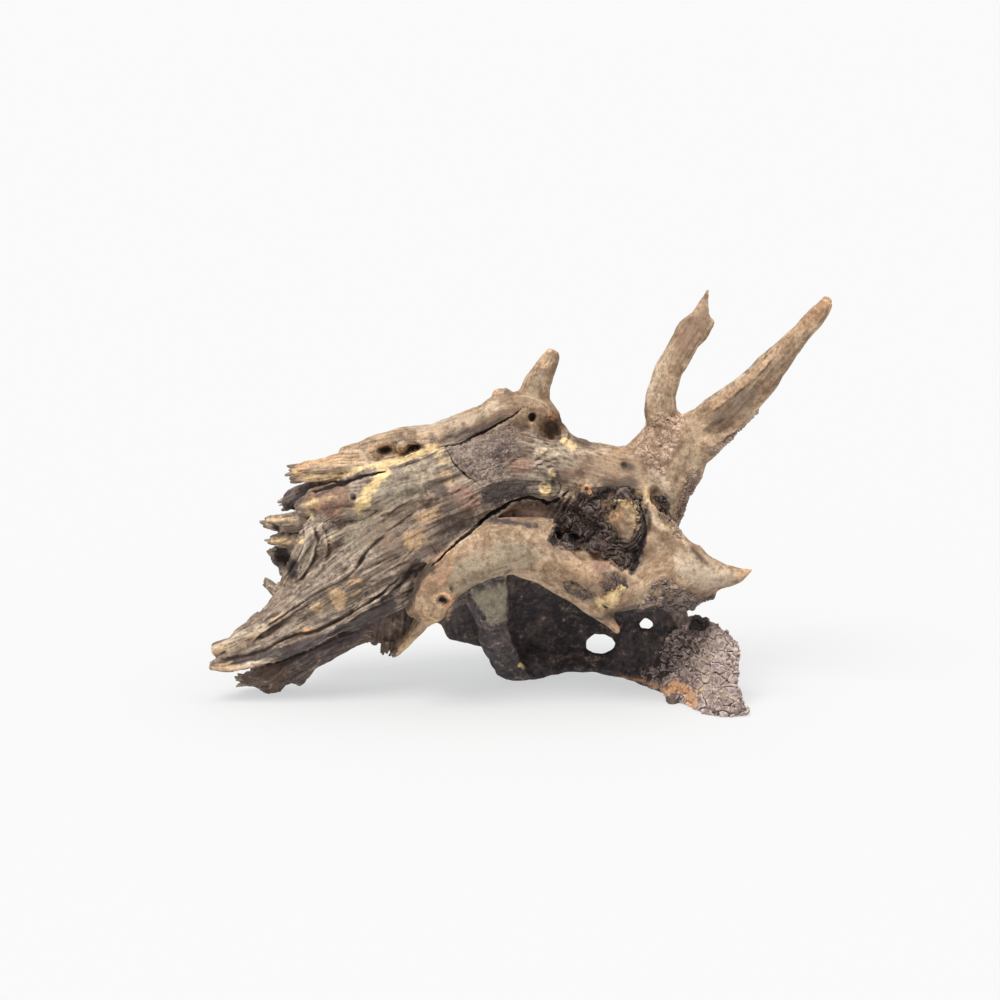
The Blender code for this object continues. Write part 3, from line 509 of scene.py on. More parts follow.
        area(1.1, 0.7, 40.5, 226.5, 42.8, 222.8, 39.8, 219.8, 37.5, 222, 37.5, 225.8),
        line(3, 0.8, -75, 197.2, -67.5, 199.5), line(2.6, 0.8, -52.5, 198.8, -42, 201.8),
        line(3, 0.8, -46.5, 116.2, -57, 101.2, -72, 86.2),
        line(5.2, 0.8, -36, 111.8, -46.5, 101.2, -54, 83.2),
        area(1.5, 0.9, 51, 131.2, 57, 143.2, 61.5, 132.8, 54, 126.8), line(3.8, 0.9, 69, 135, 70.5, 129.8),
        line(2.6, 0.8, 123.8, 157.5, 126, 146.2, 120, 127.5, 112.5, 107.2),
        line(2.2, 0.7, 132.8, 150.8, 138.8, 143.2), line(2.6, 0.85, -27.8, 88.5, -26.2, 87),
        line(2.2, 0.8, -154.5, 141.8, -151.5, 139.5), line(6.8, 0.9, -150, 120, -139.5, 110.2),
        line(1.5, 0.7, 18.8, 107.2, 24, 110.2), line(1.4, 0.9, 91.5, 83.2, 94.5, 81),
        line(3, 0.7, 87, 168.8, 111, 168.8), line(1.2, 0.8, -96, 162, -92.2, 163.5),
        area(1.5, 0.85, 159, 72.8, 169.5, 75.8, 174, 66.8, 168, 62.2, 157.5, 63.8),
    ],
    "green": [
        area(6.8, 0.55, -81, 183.8, -60, 189.8, -37.5, 192.8, -30, 176.2, -48.8, 153.8, -71.2, 131.2, -93.8,
            116.2, -101.2, 131.2, -93, 150, -85.5, 165),
        area(6, 0.55, -22.5, 116.2, 15, 131.2, 45, 127.5, 45, 112.5, 15, 101.2, -13.5, 86.2, -24, 97.5),
        area(3, 0.85, -9, 92.2, 9, 96.8, 21, 101.2, 20.2, 71.2, 9, 65.2, 1.5, 77.2),
        area(3.8, 0.5, 37.5, 206.2, 71.2, 202.5, 75, 183.8, 48.8, 183.8),
        line(6, 0.35, 120, 116.2, 97.5, 86.2, 67.5, 77.2), line(7.5, 0.3, 165, 116.2, 180, 101.2),
        line(6, 0.4, 90, 191.2, 127.5, 176.2, 135, 161.2), line(4.5, 0.5, 45, 255, 37.5, 240),
        line(6, 0.3, -127.5, 131.2, -131.2, 108.8, -142.5, 93.8), line(4.5, 0.35, -135, 86.2, -90, 116.2),
        line(4.5, 0.35, 157.5, 206.2, 144, 161.2), line(6, 0.25, 195, 236.2, 206.2, 247.5),
    ],
    "brown": [
        area(4.5, 0.95, -124.5, 174.8, -99, 176.2, -93, 156.8, -103.5, 146.2, -127.5, 150.8, -132, 161.2),
        area(7.5, 0.5, -81, 157.5, -45, 161.2, -39, 127.5, -67.5, 116.2, -90, 127.5),
        area(3.8, 0.55, -48.8, 93.8, -42, 114.8, -25.5, 122.2, -16.5, 119.2, -21, 99.8, -37.5, 86.2),
        area(6, 0.5, 75, 195, 108.8, 198.8, 120, 180, 90, 176.2, 67.5, 182.2),
        line(7.5, 0.55, 151.5, 276.8, 166.5, 299.2), line(6.8, 0.5, 174, 213.8, 198.8, 234.8),
        line(3, 0.3, 246, 294.8, 259.5, 311.2), line(5.2, 0.35, -112.5, 86.2, -97.5, 98.2, -81, 111.8),
        area(3, 0.7, 48.8, 225, 61.5, 227.2, 64.5, 213.8, 56.2, 206.2, 46.5, 212.2),
        line(4.5, 0.35, 60, 114.8, 81, 99.8, 87, 83.2), line(3.8, 0.35, 120, 138.8, 127.5, 119.2),
        line(3.8, 0.35, 9, 240, 0, 230.2, -22.5, 221.2), line(3, 0.3, 138, 93.8, 165, 89.2),
        line(6.8, 0.4, -112.5, 163.5, -97.5, 165), line(6, 0.25, -86.2, 101.2, -101.2, 86.2),
        line(2.2, 0.35, -135, 183.8, -97.5, 188.2), line(3, 0.35, 30, 45, 18.8, 71.2, 22.5, 86.2),
        line(3, 0.3, -60, 217.5, -30, 215.2, 0, 227.2), line(3, 0.3, -7.5, 41.2, 15, 71.2, 24, 86.2),
        area(2.2, 0.6, 90, 105, 103.5, 111.8, 111, 102.8, 106.5, 93.8, 93, 95.2),
        line(3, 0.45, 60, 122.2, 84, 116.2, 93, 111.8), line(3, 0.5, 45, 131.2, 60, 122.2),
        line(7.5, 0.2, 147, 127.5, 165, 101.2), line(4.5, 0.4, 131.2, 116.2, 126, 127.5),
        line(3.8, 0.4, 57, 179.2, 75, 180.8, 90, 176.2), line(6, 0.3, -16.5, 140.2, -37.5, 131.2),
        line(4.5, 0.3, 18.8, 236.2, 33.8, 234.8), line(4.5, 0.4, 51, 236.2, 54, 227.2),
        line(9, 0.5, 60, 221.2, 54, 215.2), line(2.2, 0.25, 0, 105, -22.5, 99.8, -33, 93.8),
        line(5.2, 0.3, 120, 217.5, 135, 202.5, 127.5, 187.5), line(3.8, 0.15, 15, 116.2, 30, 105),
        line(5.2, 0.35, -78, 71.2, -105, 52.5, -135, 41.2), line(3, 0.3, -172.5, 56.2, -135, 77.2),
        line(2.2, 0.3, 90, 67.5, 103.5, 56.2), line(6, 0.3, -7.5, 161.2, -9, 146.2),
    ],
}
tintReach = 0.6        # how far noise eats into a mark's edge

crusts = {
    "stemBark": [
        area(1.5, 1, -24.8, 201.8, -13.5, 204, -1.5, 209.2, 9.8, 214.1, 22.5, 218.2, 26.2, 207.8, 33,
            197.2, 24, 191.2, 18.8, 183.8, 21, 174.8, 4.5, 171.8, -1.5, 174.8, -9, 179.2, -16.5, 188.2),
        area(1.9, 0.9, 1.5, 168.8, 21, 173.2, 34.5, 173.2, 40.5, 165.8, 24, 161.2, 6, 150.8, 0, 159.8),
        area(2.2, 0.6, -22.5, 152.2, -10.5, 147.8, -1.5, 152.2, -7.5, 141.8, -24, 128.2, -33, 125.2, -30,
            138.8), line(2.2, 0.7, 9, 147, 26.2, 144, 42, 142.5),
    ],
    "archBark": [
        area(1.5, 1, 60, 101.2, 67.5, 102.8, 76.5, 96.8, 85.5, 93.8, 87, 89.2, 76.5, 87, 64.5, 92.2),
        area(1.5, 0.9, 90, 107.2, 99, 110.2, 108, 104.2, 111, 96.8, 103.5, 92.2, 93, 93.8, 87, 98.2),
    ],
    "lobeBark": [
        area(2.6, 1, 152.2, 66, 141.8, 57.8, 136.5, 47.2, 133.5, 36, 120, 31.5, 127.5, 19.5, 138.8, 14.2,
            153, 8.2, 162, -0.8, 189, -0.8, 204, 5.2, 201, 18.8, 196.5, 33.8, 198, 48.8, 187.5, 60.8, 171,
            72.8, 162, 75.8),
    ],
    "flangeBark": [
        area(1.9, 1, 127.5, 99.8, 141, 104.2, 151.5, 96.8, 163.5, 90, 175.5, 90, 171, 80.2, 157.5, 78,
            141, 79.5, 115.5, 81, 123, 90.8),
    ],
    "neckBark": [
        area(3.8, 0.8, 124.5, 224.2, 138, 227.2, 153, 225.8, 153, 212.2, 147, 197.2, 138, 180.8, 124.5,
            183.8, 115.5, 197.2, 120, 213.8),
    ],
    "stripBark": [
        line(6, 1, 160.5, 180.8, 156, 164.2, 151.5, 150.8, 147.8, 137.2),
        line(3.4, 0.8, 172.5, 197.2, 186, 206.2, 201, 216.8, 210, 227.2),
    ],
    "burl": [
        area(1.1, -1, 96, 150.8, 105, 160.5, 113.2, 157.5, 116.2, 143.2, 111.8, 131.2, 102.8, 134.2, 97.5,
            141.8),
        area(2.2, 1, 71.2, 167.2, 85.5, 171, 117.8, 171, 123.8, 154.5, 122.2, 126, 115.5, 108.8, 102.8,
            109.5, 87, 121.5, 62.2, 123.8, 48.8, 132, 57, 147, 69, 159.8),
        area(1.5, 0.9, 129, 164.2, 138, 165.8, 141.8, 155.2, 141, 143.2, 132, 150.8),
    ],
}

# half width, depth, then the places
cracks = [
    (1.9, 6, -36, 112.5, -26.2, 121.5, -12.8, 133.5, 4.5, 147.8, 19.5, 156.8, 27.8, 160.5, 36.8, 162.8,
        45, 160.5, 51.8, 159, 60, 162, 66, 168),
    (1.3, 1.8, -26.2, 201, -19.5, 189.8, -12.8, 180.8, -2.2, 174, 1.5, 170.2),
    (1.4, 3.2, -30, 201, -15, 204, -3, 209.6, 8.2, 214.5, 18.8, 220.1, 32.2, 229.5),
    (0.7, 0.8, -23.2, 163.5, -12.8, 171, -3.8, 176.2), (0.9, 1.2, -9, 179.2, 7.5, 185.2, 21, 192),
    (2.4, 4.5, -125.2, 168, -111.8, 171.8, -100.5, 175.1, -88.5, 178.5, -77.2, 181.1, -69.8, 182.2),
    (0.8, 1.2, -130.5, 147.4, -117.8, 145.1, -105, 144, -102.8, 147),
    (0.9, 1, -39, 152.2, -49.5, 144.8, -57, 137.2, -67.5, 129.8),
    (0.7, 0.8, -45, 131.2, -54, 119.2, -63, 111.8), (0.7, 0.8, -24, 116.2, -33, 122.2, -37.5, 131.2),
    (0.8, 1.2, 6.8, 108, 14.2, 111, 23.2, 113.2), (0.8, 1.3, 6, 103.5, 13.5, 101.2, 21, 105),
    (0.6, 0.9, 8.2, 105.8, 15, 107.2, 19.5, 110.2),
    (1, 2.4, 160.5, 26.2, 163.5, 30, 173.2, 32.2, 182.2, 28.5, 186, 25.1, 192, 26.2),
    (1, 2, 156, 52.5, 163.5, 42.8, 171, 37.9, 182.2, 35.6, 188.2, 37.9),
    (0.8, 1.6, 159, 56.2, 168, 45, 173.2, 45.8), (0.8, 1.4, 147, 53.2, 151.5, 39.8, 157.5, 32.2),
    (0.7, 1, 138, 45, 141, 35.2, 135, 29.2), (0.7, 1.2, 157.5, 177.8, 151.5, 161.2, 148.5, 146.2),
    (0.6, 0.6, -3, 83.2, 0, 77.2, 3, 69.8), (0.9, 1.2, 57, 177.8, 60, 168.8, 54.8, 162),
    (0.6, 0.8, -141, 183, -127.5, 183.8, -105, 186), (0.6, 0.7, -135, 177.8, -120, 177.8, -101.2, 180.8),
    (1, 1.6, -150, 135.8, -141, 135.8, -131.2, 135.4), (0.8, 1.2, 138, 222, 145.5, 218.2, 147, 213.8),
    (0.9, 1.4, 135, 201.8, 140.2, 196.5, 141, 192.8), (0.7, 0.8, 124.5, 218.2, 132, 212.2),
    (0.6, 0.6, 131.2, 228.8, 133.5, 234.8, 132, 240.8), (0.6, 0.6, 135, 227.2, 138, 236.2),
    (0.5, 0.5, 144, 228.8, 141, 237.8), (0.7, 0.8, 51, 267.8, 48, 261.8),
    (0.5, 0.5, 90, 119.2, 87, 111.8, 91.5, 105.8),
]

# how high the left side stands, how far that reaches, how deep the groove at its right is, then the places
ridges = [
    (1.7, 11, 1.9, -163.5, 65.2, -150, 74.6, -138, 82.9, -124.5, 92.2, -114, 97.9, -106.1, 101.2, -96.8,
        108, -88.9, 119.6, -79.5, 130.1, -67.5, 140.2),
    (2.2, 9, 1.6, -201, 42, -183.8, 45.8, -162, 51.8, -142.5, 61.5, -124.5, 65.2, -111, 71.2, -101.2, 76.1,
        -87.8, 83.2, -74.2, 93, -66, 100.5),
    (1.8, 7, 1.6, -198, 33, -177, 35.2, -156, 41.2, -141, 45.8, -124.5, 53.2, -109.5, 63.8, -99, 70.5,
        -85.5, 79.5, -74.2, 84, -63, 90.8),
    (1.2, 4, 1, -100.5, 77.2, -88.5, 84.8, -73.5, 93.8, -58.5, 105.8),
    (1.1, 4, 1.1, -96, 74.2, -82.5, 82.5, -72, 89.2, -60, 99.8, -51, 108.8),
    (0.9, 5, 0.8, -74.2, 150.8, -66.8, 153, -57.8, 160.5),
    (1, 5, 0.8, -70.5, 138.8, -60, 145.5, -49.5, 153),
    (0.6, 4, 0.6, -75, 145.5, -65.2, 153.8, -52.5, 161.2),
    (1.4, 6, 1.2, -136.5, 101.2, -130.5, 108.8, -124.5, 119.2, -123, 132.8, -126, 143.2),
    (1.8, 6, 2, -130.5, 144, -129, 135, -130.5, 125.2, -136.5, 114, -144, 102),
    (1, 5, 0.8, -118.5, 110.2, -114, 123.8, -115.5, 135.8, -120, 143.2),
    (0.8, 4, 0.9, -172.5, 54, -157.5, 66, -142.5, 74.2, -135, 81.8),
    (0.7, 4, 0.7, -166.5, 65.2, -163.5, 70.5, -150, 79.5),
    (0.8, 3.5, 0.9, -168, 59.2, -153, 68.2, -141, 76.5), (0.7, 3, 0.8, -163.5, 63, -148.5, 71.2, -138, 78),
    (0.7, 4, 0.6, -191.2, 47.2, -172.5, 53.2, -154.5, 59.2, -138, 68.2),
    (0.6, 3, 0.6, -193.5, 52.5, -180, 57.8, -168, 60.8),
    (1.2, 6, 0.9, -69, 185.2, -57, 189, -42, 193.5, -30, 200.2),
    (1, 4, 0.8, -141, 176.2, -123, 176.2, -105, 176.2, -90, 182.2),
    (0.7, 3, 0.5, -138, 183.8, -120, 183.8, -100.5, 186.8, -84, 189.8),
    (1.2, 5, 1.4, 114, 164.2, 120.8, 155.2, 124.5, 140.2, 120.8, 123.8, 114, 108.8),
    (1, 5, 0.9, 56.2, 33, 63, 40.1, 75, 42.4, 83.2, 37.9, 90.8, 30.8),
    (1, 4, 1, -10.5, 84, -2.2, 80.2, 2.2, 69, 10.5, 65.6, 18.8, 67.9),
    (0.8, 3.5, 0.7, 37.5, 189.8, 48, 197.2, 60, 200.2, 69, 197.2),
    (0.7, 3.5, 0.7, 37.5, 184.5, 48.8, 191.2, 60, 194.2, 70.5, 191.2),
    (0.8, 4, 0.8, 34.5, 197.2, 43.5, 203.2, 52.5, 201.8), (0.8, 3.5, 0.7, 66, 167.2, 60, 155.2, 51.8, 143.2),
    (0.9, 3.5, 0.8, 70.5, 165.8, 64.5, 152.2, 55.5, 140.2),
    (0.7, 3.5, 0.6, 61.5, 168, 56.2, 157.5, 48.8, 147), (0.5, 3, 0.6, 68.2, 161.2, 60, 149.2, 51, 138.8),
    (0.6, 4, 0.5, -45, 81.8, -39, 75.8, -30, 72.8, -21, 80.2),
    (0.9, 4, 0.7, 170.2, 200.2, 184.5, 209.2, 199.5, 219.8, 207.8, 229.5),
    (0.7, 6, 0.5, 169.5, 225, 181.5, 234.8, 195, 245.2, 207, 255.8, 216, 267.8),
    (0.4, 4, 0.4, 165, 213.8, 174, 219.8, 183, 222.8),
    (0.9, 4, 0.6, 45, 206.2, 54, 204, 63, 205.5, 66, 212.2),
]

# across, up, half width, half height, turn, depth
dents = [
    (54, 215.2, 12.8, 12.8, -20, 7.5), (39, 222.8, 3.3, 3.9, -10, 5.5), (108, 186.8, 4.9, 3.4, -10, 3.5),
    (-70.5, 198.8, 6, 4.1, 12, 6), (-48, 200.2, 6, 3.4, 8, 5), (-93, 162.8, 3.8, 4.5, -10, 2.2),
    (-152.2, 139.5, 3.8, 3.8, 0, 3.5), (-147, 116.2, 9.8, 9.8, 0, 4), (-27, 87.4, 5.2, 2.8, -10, 3.2),
    (57, 134.2, 6, 6, 0, 5), (70.5, 132.8, 5.2, 6, 0, 4.5), (84, 163.5, 10.5, 3.8, 0, 3),
    (135, 150.8, 6, 9.8, 15, 3), (-21, 96, 1.9, 2.7, 0, 1.4), (93, 81.8, 1.7, 1.7, 0, 1.6),
    (117.8, 119.2, 3.8, 10.5, -25, 2.5), (54, 176.2, 3, 4.5, 0, 2.2), (-112.5, 127.5, 1.9, 2.2, 0, 0.8),
    (152.2, 270.8, 1.7, 1.7, 0, 0.8), (47.2, 109.5, 1.2, 1.2, 0, 1), (57, 103.5, 1, 1, 0, 0.9),
    (56.2, 111, 0.9, 0.9, 0, 0.9), (24, 82.5, 1.9, 1.5, 0, 0.8), (125.2, 59.2, 2.2, 2.2, 0, 0.6),
]

# across, up, radius, height of the ring, and how its middle stands
knots = [
    (-27, 87.4, 8.2, 1.1, -0.8), (79.1, 169.5, 4.5, 1.3, -0.5), (48.8, 170.2, 6, 1.6, 1.1),
    (53.2, 180.8, 4.9, 1.4, 1), (15.8, 245.2, 6, 0.9, -0.5), (-93.4, 162.8, 4.9, 0.7, -0.8),
    (66.8, 144.8, 3.8, 1.2, 0.3), (99, 149.2, 4.5, 0.9, -0.4), (-58.1, 200.6, 5.2, 2.4, 1.2),
    (118.5, 197.2, 3.8, 0.7, -0.3), (70.5, 171.8, 4.5, 0.6, -0.2), (138, 183.8, 3, 0.5, 0.2),
    (-112.5, 127.5, 3, 0.5, 0.4),
]


class Skin:
    # a mesh's points with what can be told about each: its normal and its place in the view
    def __init__(self, mesh):
        self.mesh = mesh
        self.edges = readRows(mesh.edges, "vertices", 2, np.int32)
        self.points = fromFrame(pointsOf(mesh))
        self.refresh()

    def refresh(self):
        self.seen = np.stack([self.points[:, 0], upTheView(self.points)], axis=1)
        self.out = readRows(self.mesh.vertex_normals, "vector", 3).astype(float)
        self.facing = -(self.out @ sight)

    def moveTo(self, points):
        self.points = points
        place(self.mesh, toFrame(points))
        self.refresh()

    def findFront(self, cell=2.0, behind=14.0):
        # how far each point shows from the front: it faces it and has nothing much nearer
        depth = self.points @ sight
        square = np.floor(self.seen / cell).astype(int)
        square -= square.min(0)
        number = square[:, 0] * (square[:, 1].max() + 1) + square[:, 1]
        nearest = np.full(number.max() + 1, 1e6)
        np.minimum.at(nearest, number, depth)
        self.front = between(self.facing, -0.3, 0.1) * between(nearest[number] + behind - depth, 0, 6)

    def inReach(self, corners, reach):
        low, high = corners.min(0) - reach, corners.max(0) + reach
        inside = np.all((self.seen > low) & (self.seen < high), axis=1)
        return np.where(inside & (self.front > 0.01))[0]

    def nearLine(self, line, reach):
        # points near a line: which, mm off it, left (1) or right (-1) of it, and how far along
        corners = curved(line, 4)
        picked = self.inReach(corners, reach)
        here = self.seen[picked]
        best = np.full(len(here), farOff)
        side = np.zeros(len(here))
        along = np.zeros(len(here))
        lengths = np.linalg.norm(np.diff(corners, axis=0), axis=1)
        passed = np.concatenate([[0.0], np.cumsum(lengths)])
        for i, (start, end) in enumerate(zip(corners, corners[1:])):
            run = end - start
            t = np.clip((here - start) @ run / (run @ run), 0, 1)
            offset = here - start - t[:, None] * run
            away = np.linalg.norm(offset, axis=1)
            closer = away < best
            best = np.where(closer, away, best)
            side = np.where(closer, np.sign(run[0] * offset[:, 1] - run[1] * offset[:, 0]), side)
            along = np.where(closer, (passed[i] + t * lengths[i]) / passed[-1], along)
        return picked, best, side, along

    def inArea(self, corners, reach):
        # points near an area: which, and mm inside its edge, below nought outside
        corners = np.array(corners, float)
        picked = self.inReach(corners, reach)
        here = self.seen[picked]
        best = np.full(len(here), farOff)
        inside = np.zeros(len(here), bool)
        for start, end in zip(corners, np.roll(corners, -1, axis=0)):
            run = end - start
            t = np.clip((here - start) @ run / (run @ run), 0, 1)
            best = np.minimum(best, np.linalg.norm(here - start - t[:, None] * run, axis=1))
            spans = (start[1] > here[:, 1]) != (end[1] > here[:, 1])
            rise = run[1] if run[1] else 1e-9
            inside ^= spans & (here[:, 0] < start[0] + (here[:, 1] - start[1]) / rise * run[0])
        return picked, np.where(inside, best, -best)

    def ovalAt(self, across, up, wide, high, turn=0.0):
        # points near an oval: which, and 0 in its middle to 1 on its edge
        reach = 1.7 * max(wide, high)
        picked = self.inReach(np.array([[across, up]]), reach)
        angle = math.radians(turn)
        dx, dy = (self.seen[picked] - [across, up]).T
        along = (dx * math.cos(angle) + dy * math.sin(angle)) / wide
        other = (dy * math.cos(angle) - dx * math.sin(angle)) / high
        return picked, np.sqrt(along ** 2 + other ** 2)


def shareOf(skin, marks, bites):
    # how strongly a set of marks covers each point
    total = np.zeros(len(skin.points))
    kept = np.ones(len(skin.points))
    for kind, places, size, strength in marks:
        if kind == "line":
            picked, away = skin.nearLine(places, 2 * size)[:2]
            within = 1 - away / size
        else:
            picked, within = skin.inArea(places, 3 * size)
            within = within / size
        share = strength * between(within + tintReach * bites[picked], -0.3, 0.5) * skin.front[picked]
        if strength < 0:
            kept[picked] = np.minimum(kept[picked], 1 + share)
        total[picked] = np.maximum(total[picked], share)
    return total * kept


# size in mm, share and salt of each noise that frays the marks' edges
biteWaves = ((6.0, 1.0, 3), (2.6, 0.7, 4), (1.2, 0.45, 14))


def bitesAt(points):
    return sum(share * noiseAt(points / size, salt) for size, share, salt in biteWaves) / 1.2


trunkFinish = dict(
    voxel=0.95, quickVoxel=1.5, calmRounds=16, triangles=197000,
    flute=1.5, fluteSize=13.0, fluteStretch=6.0,            # mm deep, mm wide, times as long
    groove=1.0, grooveSize=4.6, grooveStretch=9.0,
    fine=0.45, fineSize=2.3, fineStretch=14.0,
    ledge=1.7, ledgeSize=8.0, ledgeStretch=10.0, ledgeSteps=3.0,
    grooveSharp=2.6, fineSharp=2.0, grooveLeast=0.05,       # the last is what smooth wood keeps of them
    crinkle=1.0, crinkleSize=6.0, crinkleSharp=2.2,
    lump=0.75, lumpSize=12.0, grit=0.22, gritSize=3.0,
    ridgeStray=0.5, ridgeFade=0.1, ridgeDrop=1.1, grooveNear=(0.3, 1.4), grooveFar=(1.8, 4.6), grooveShade=0.75,
    crackStray=1.0, strayLong=7.0, strayShort=2.2, crackLeast=0.3, crackEdge=0.15,
    dentStray=0.16, dentSlope=0.85, dentShade=0.12,
    knotStray=0.14, knotRing=0.62, knotWide=0.24, knotMiddle=0.4, ripple=0.16, ripples=20.0,
    swell=0.53, welded=0.01, behindSize=38.0, plateSize=5.4, plateHigh=0.8,
    creaseRounds=6, hollowRounds=36, hollowDeep=1.6, proud=1.0,
)


def sized(name):
    # the size of one pattern along the grain
    size = trunkFinish[name + "Size"]
    return np.array([size, size, size * trunkFinish[name + "Stretch"]])


def grow(skin, grain, bites, barky):
    # the weathered relief, the painted shade in grooves, cracks and dents, how deep each point was cut, in
    # millimetres, and how fibrous it is
    how = trunkFinish
    fibrous = grain.ofLimb(lambda limb: limb.fibre) * (1 - 0.6 * between(barky, 0.2, 0.8))
    stout = between(grain.ofLimb(lambda limb: limb.radius.mean()), 2.0, 12.0)
    flute = grain.mixed(lambda at: noiseAt(at / sized("flute"), 15))
    groove = grain.mixed(lambda at: narrow(noiseAt(at / sized("groove"), 1), how["grooveSharp"]))
    fine = grain.mixed(lambda at: narrow(noiseAt(at / sized("fine"), 2), how["fineSharp"]))
    ledge = grain.mixed(lambda at: stairs(noiseAt(at / sized("ledge"), 5), how["ledgeSteps"]))
    relief = flute * how["flute"] * fibrous
    rough = how["grooveLeast"] + (1 - how["grooveLeast"]) * fibrous
    relief += (groove - 0.8) * how["groove"] * rough
    relief += (fine - 0.8) * how["fine"] * rough
    relief += ledge * how["ledge"] * fibrous ** 2
    relief += noiseAt(skin.points / how["lumpSize"], 7) * how["lump"]
    relief += noiseAt(skin.points / how["gritSize"], 8) * how["grit"] * (0.3 + 0.7 * fibrous)
    crinkled = grain.ofLimb(lambda limb: limb.crinkle)
    crinkles = narrow(noiseAt(skin.points / how["crinkleSize"], 16), how["crinkleSharp"])
    relief += (crinkles - 0.6) * how["crinkle"] * crinkled
    relief *= 0.3 + 0.7 * stout

    # painted shade for grooves, cracks and dents, darkest where deepest
    cut = np.zeros(len(relief))
    deep = np.zeros(len(relief))
    for high, reach, low, *places in ridges:
        picked, away, side, along = skin.nearLine(np.reshape(places, (-1, 2)), reach + 1)
        off = away * side + how["ridgeStray"] * noiseAt(skin.points[picked] / 5, 17)
        fade = how["ridgeFade"]
        ends = between(along, 0, fade) * between(1 - along, 0, fade) * skin.front[picked]
        raised = high * (1 - np.where(off > 0, between(off, 0, reach), between(-off, 0, how["ridgeDrop"])))
        hollow = between(-off, *how["grooveNear"]) * (1 - between(-off, *how["grooveFar"]))
        relief[picked] += ends * (raised - low * hollow)
        cut[picked] = np.maximum(cut[picked], how["grooveShade"] * ends * hollow * min(low, 1.5))
    for wide, depth, *places in cracks:
        picked, away, side, along = skin.nearLine(np.reshape(places, (-1, 2)), wide + 3)
        here = skin.points[picked]
        stray = noiseAt(here / how["strayLong"], 12) + 0.4 * noiseAt(here / how["strayShort"], 18)
        stray = stray * how["crackStray"]
        least = how["crackLeast"]
        taper = least + (1 - least) * np.sqrt(np.clip(np.sin(math.pi * along), 0, 1))
        edge = wide * taper * (1 + 0.35 * stray)
        open = 1 - between(abs(away * side + 0.7 * stray), how["crackEdge"], edge)
        deep[picked] = np.maximum(deep[picked], depth * taper * open * skin.front[picked])
    cut = np.maximum(cut, deep)
    for across, up, wide, high, turn, depth in dents:
        picked, away = skin.ovalAt(across, up, wide, high, turn)
        inside = 1 - np.minimum(1, away + how["dentStray"] * bites[picked])
        sunk = depth * between(inside, 0, how["dentSlope"]) * skin.front[picked]
        deep[picked] = np.maximum(deep[picked], sunk)
        cut[picked] = np.maximum(cut[picked], how["dentShade"] * sunk)
    for across, up, radius, high, middle in knots:
        picked, away = skin.ovalAt(across, up, radius, radius)
        away = away + how["knotStray"] * bites[picked]
        ring = np.exp(-((away - how["knotRing"]) / how["knotWide"]) ** 2)
        ring += middle * np.exp(-(away / how["knotMiddle"]) ** 2)
        ripple = how["ripple"] * np.sin(away * how["ripples"]) * (away < 1)
        relief[picked] += (high * ring + ripple) * skin.front[picked]
    return relief, cut, deep, fibrous


def finishSkin(skin, grain, bites, total, cut, fibrous, barky):
    # keeps on the mesh what the finish is mixed from
    mesh, how = skin.mesh, trunkFinish
    # painted shade in grooves, cracks and dents
    keep(mesh, "cut", between(cut, 0.25, 2.2))
    keep(mesh, "crease", np.clip((total - smoothed(total, skin.edges, how["creaseRounds"])) * 1.1, -1, 1))
    hollow = ((skin.points - smoothed(skin.points, skin.edges, how["hollowRounds"])) * skin.out).sum(1)
    keep(mesh, "hollow", np.clip(hollow / how["hollowDeep"], -1, 1))
    keep(mesh, "fibre", fibrous)
    keep(mesh, "barky", barky)
    for name, marks in tints.items():
        keep(mesh, name, shareOf(skin, marks, bites))
    for tone in tones[1:]:
        keep(mesh, tone + "Tone", grain.ofLimb(lambda limb: limb.tone == tone))
    keep(mesh, "sure", grain.sure)
    keep(mesh, "grain", grain.place[0])


def heldInBox(points):
    # the trunk stays inside its node's box, and on the floor
    low, high = (np.array(corner) / mm + [middleAcross, middleBack, 0.0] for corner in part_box(trunkNode))
    proud = trunkFinish["proud"]
    return np.clip(points, [*(low[:2] - proud), low[2]], high + proud)


def makeTrunk():
    how = trunkFinish
    mesh = bmesh.new()
    mesh.from_mesh(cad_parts[trunkNode].data)
    bmesh.ops.remove_doubles(mesh, verts=mesh.verts, dist=how["welded"] * mm)
    data = bpy.data.meshes.new("driftwood")
    mesh.to_mesh(data)
    mesh.free()
    trunk = addObject("driftwood", data)
    fine = trunk.modifiers.new("fine", "REMESH")
    fine.mode = "VOXEL"
    fine.voxel_size = how["voxel"] * mm
    applied(trunk)
    skin = Skin(trunk.data)
    print("trunk skin", len(skin.points), "points")
    skin.moveTo(smoothed(skin.points, skin.edges, how["calmRounds"], how["swell"]))
    skin.findFront()
    grain = Grain(skin.points, limbs)
    bites = bitesAt(skin.points)
    print("trunk grain found")
    barky = shareOf(skin, [mark for marks in crusts.values() for mark in marks], bites)
    broad = noiseAt(skin.points / how["behindSize"], 19) + 0.35 * bites
    barky = np.maximum(barky, between(broad, 0.3, 0.55) * (1 - between(skin.facing, -0.2, 0.2)) * 0.8)
    relief, cut, deep, fibrous = grow(skin, grain, bites, barky)
    gap = cellsAt((skin.points + 1.4 * bites[:, None]) / how["plateSize"], 11)[0]
    relief += barky * (between(gap, 0.03, 0.25) - 0.9) * how["plateHigh"]
    smooth = skin.points.copy()
    out = skin.out.copy()
    points = smooth + out * relief[:, None] + sight * (deep * 0.75)[:, None] - out * (deep * 0.25)[:, None]
    skin.moveTo(heldInBox(points))
    finishSkin(skin, grain, bites, relief - 0.6 * deep, cut, fibrous, barky)
    print("trunk carved")
    return trunk, skin, grain, smooth, out, relief - deep


def barkKind(cell, high, vary, ridge, ridgeSize, lump, warp, holes):
    # plates' size, how they stand, the grooves in them, lumps, how bent their edges are, and worn holes
    return dict(cell=np.array(cell), high=high, vary=vary, ridge=ridge, ridgeSize=np.array(ridgeSize), lump=lump,
                warp=warp, holes=holes)


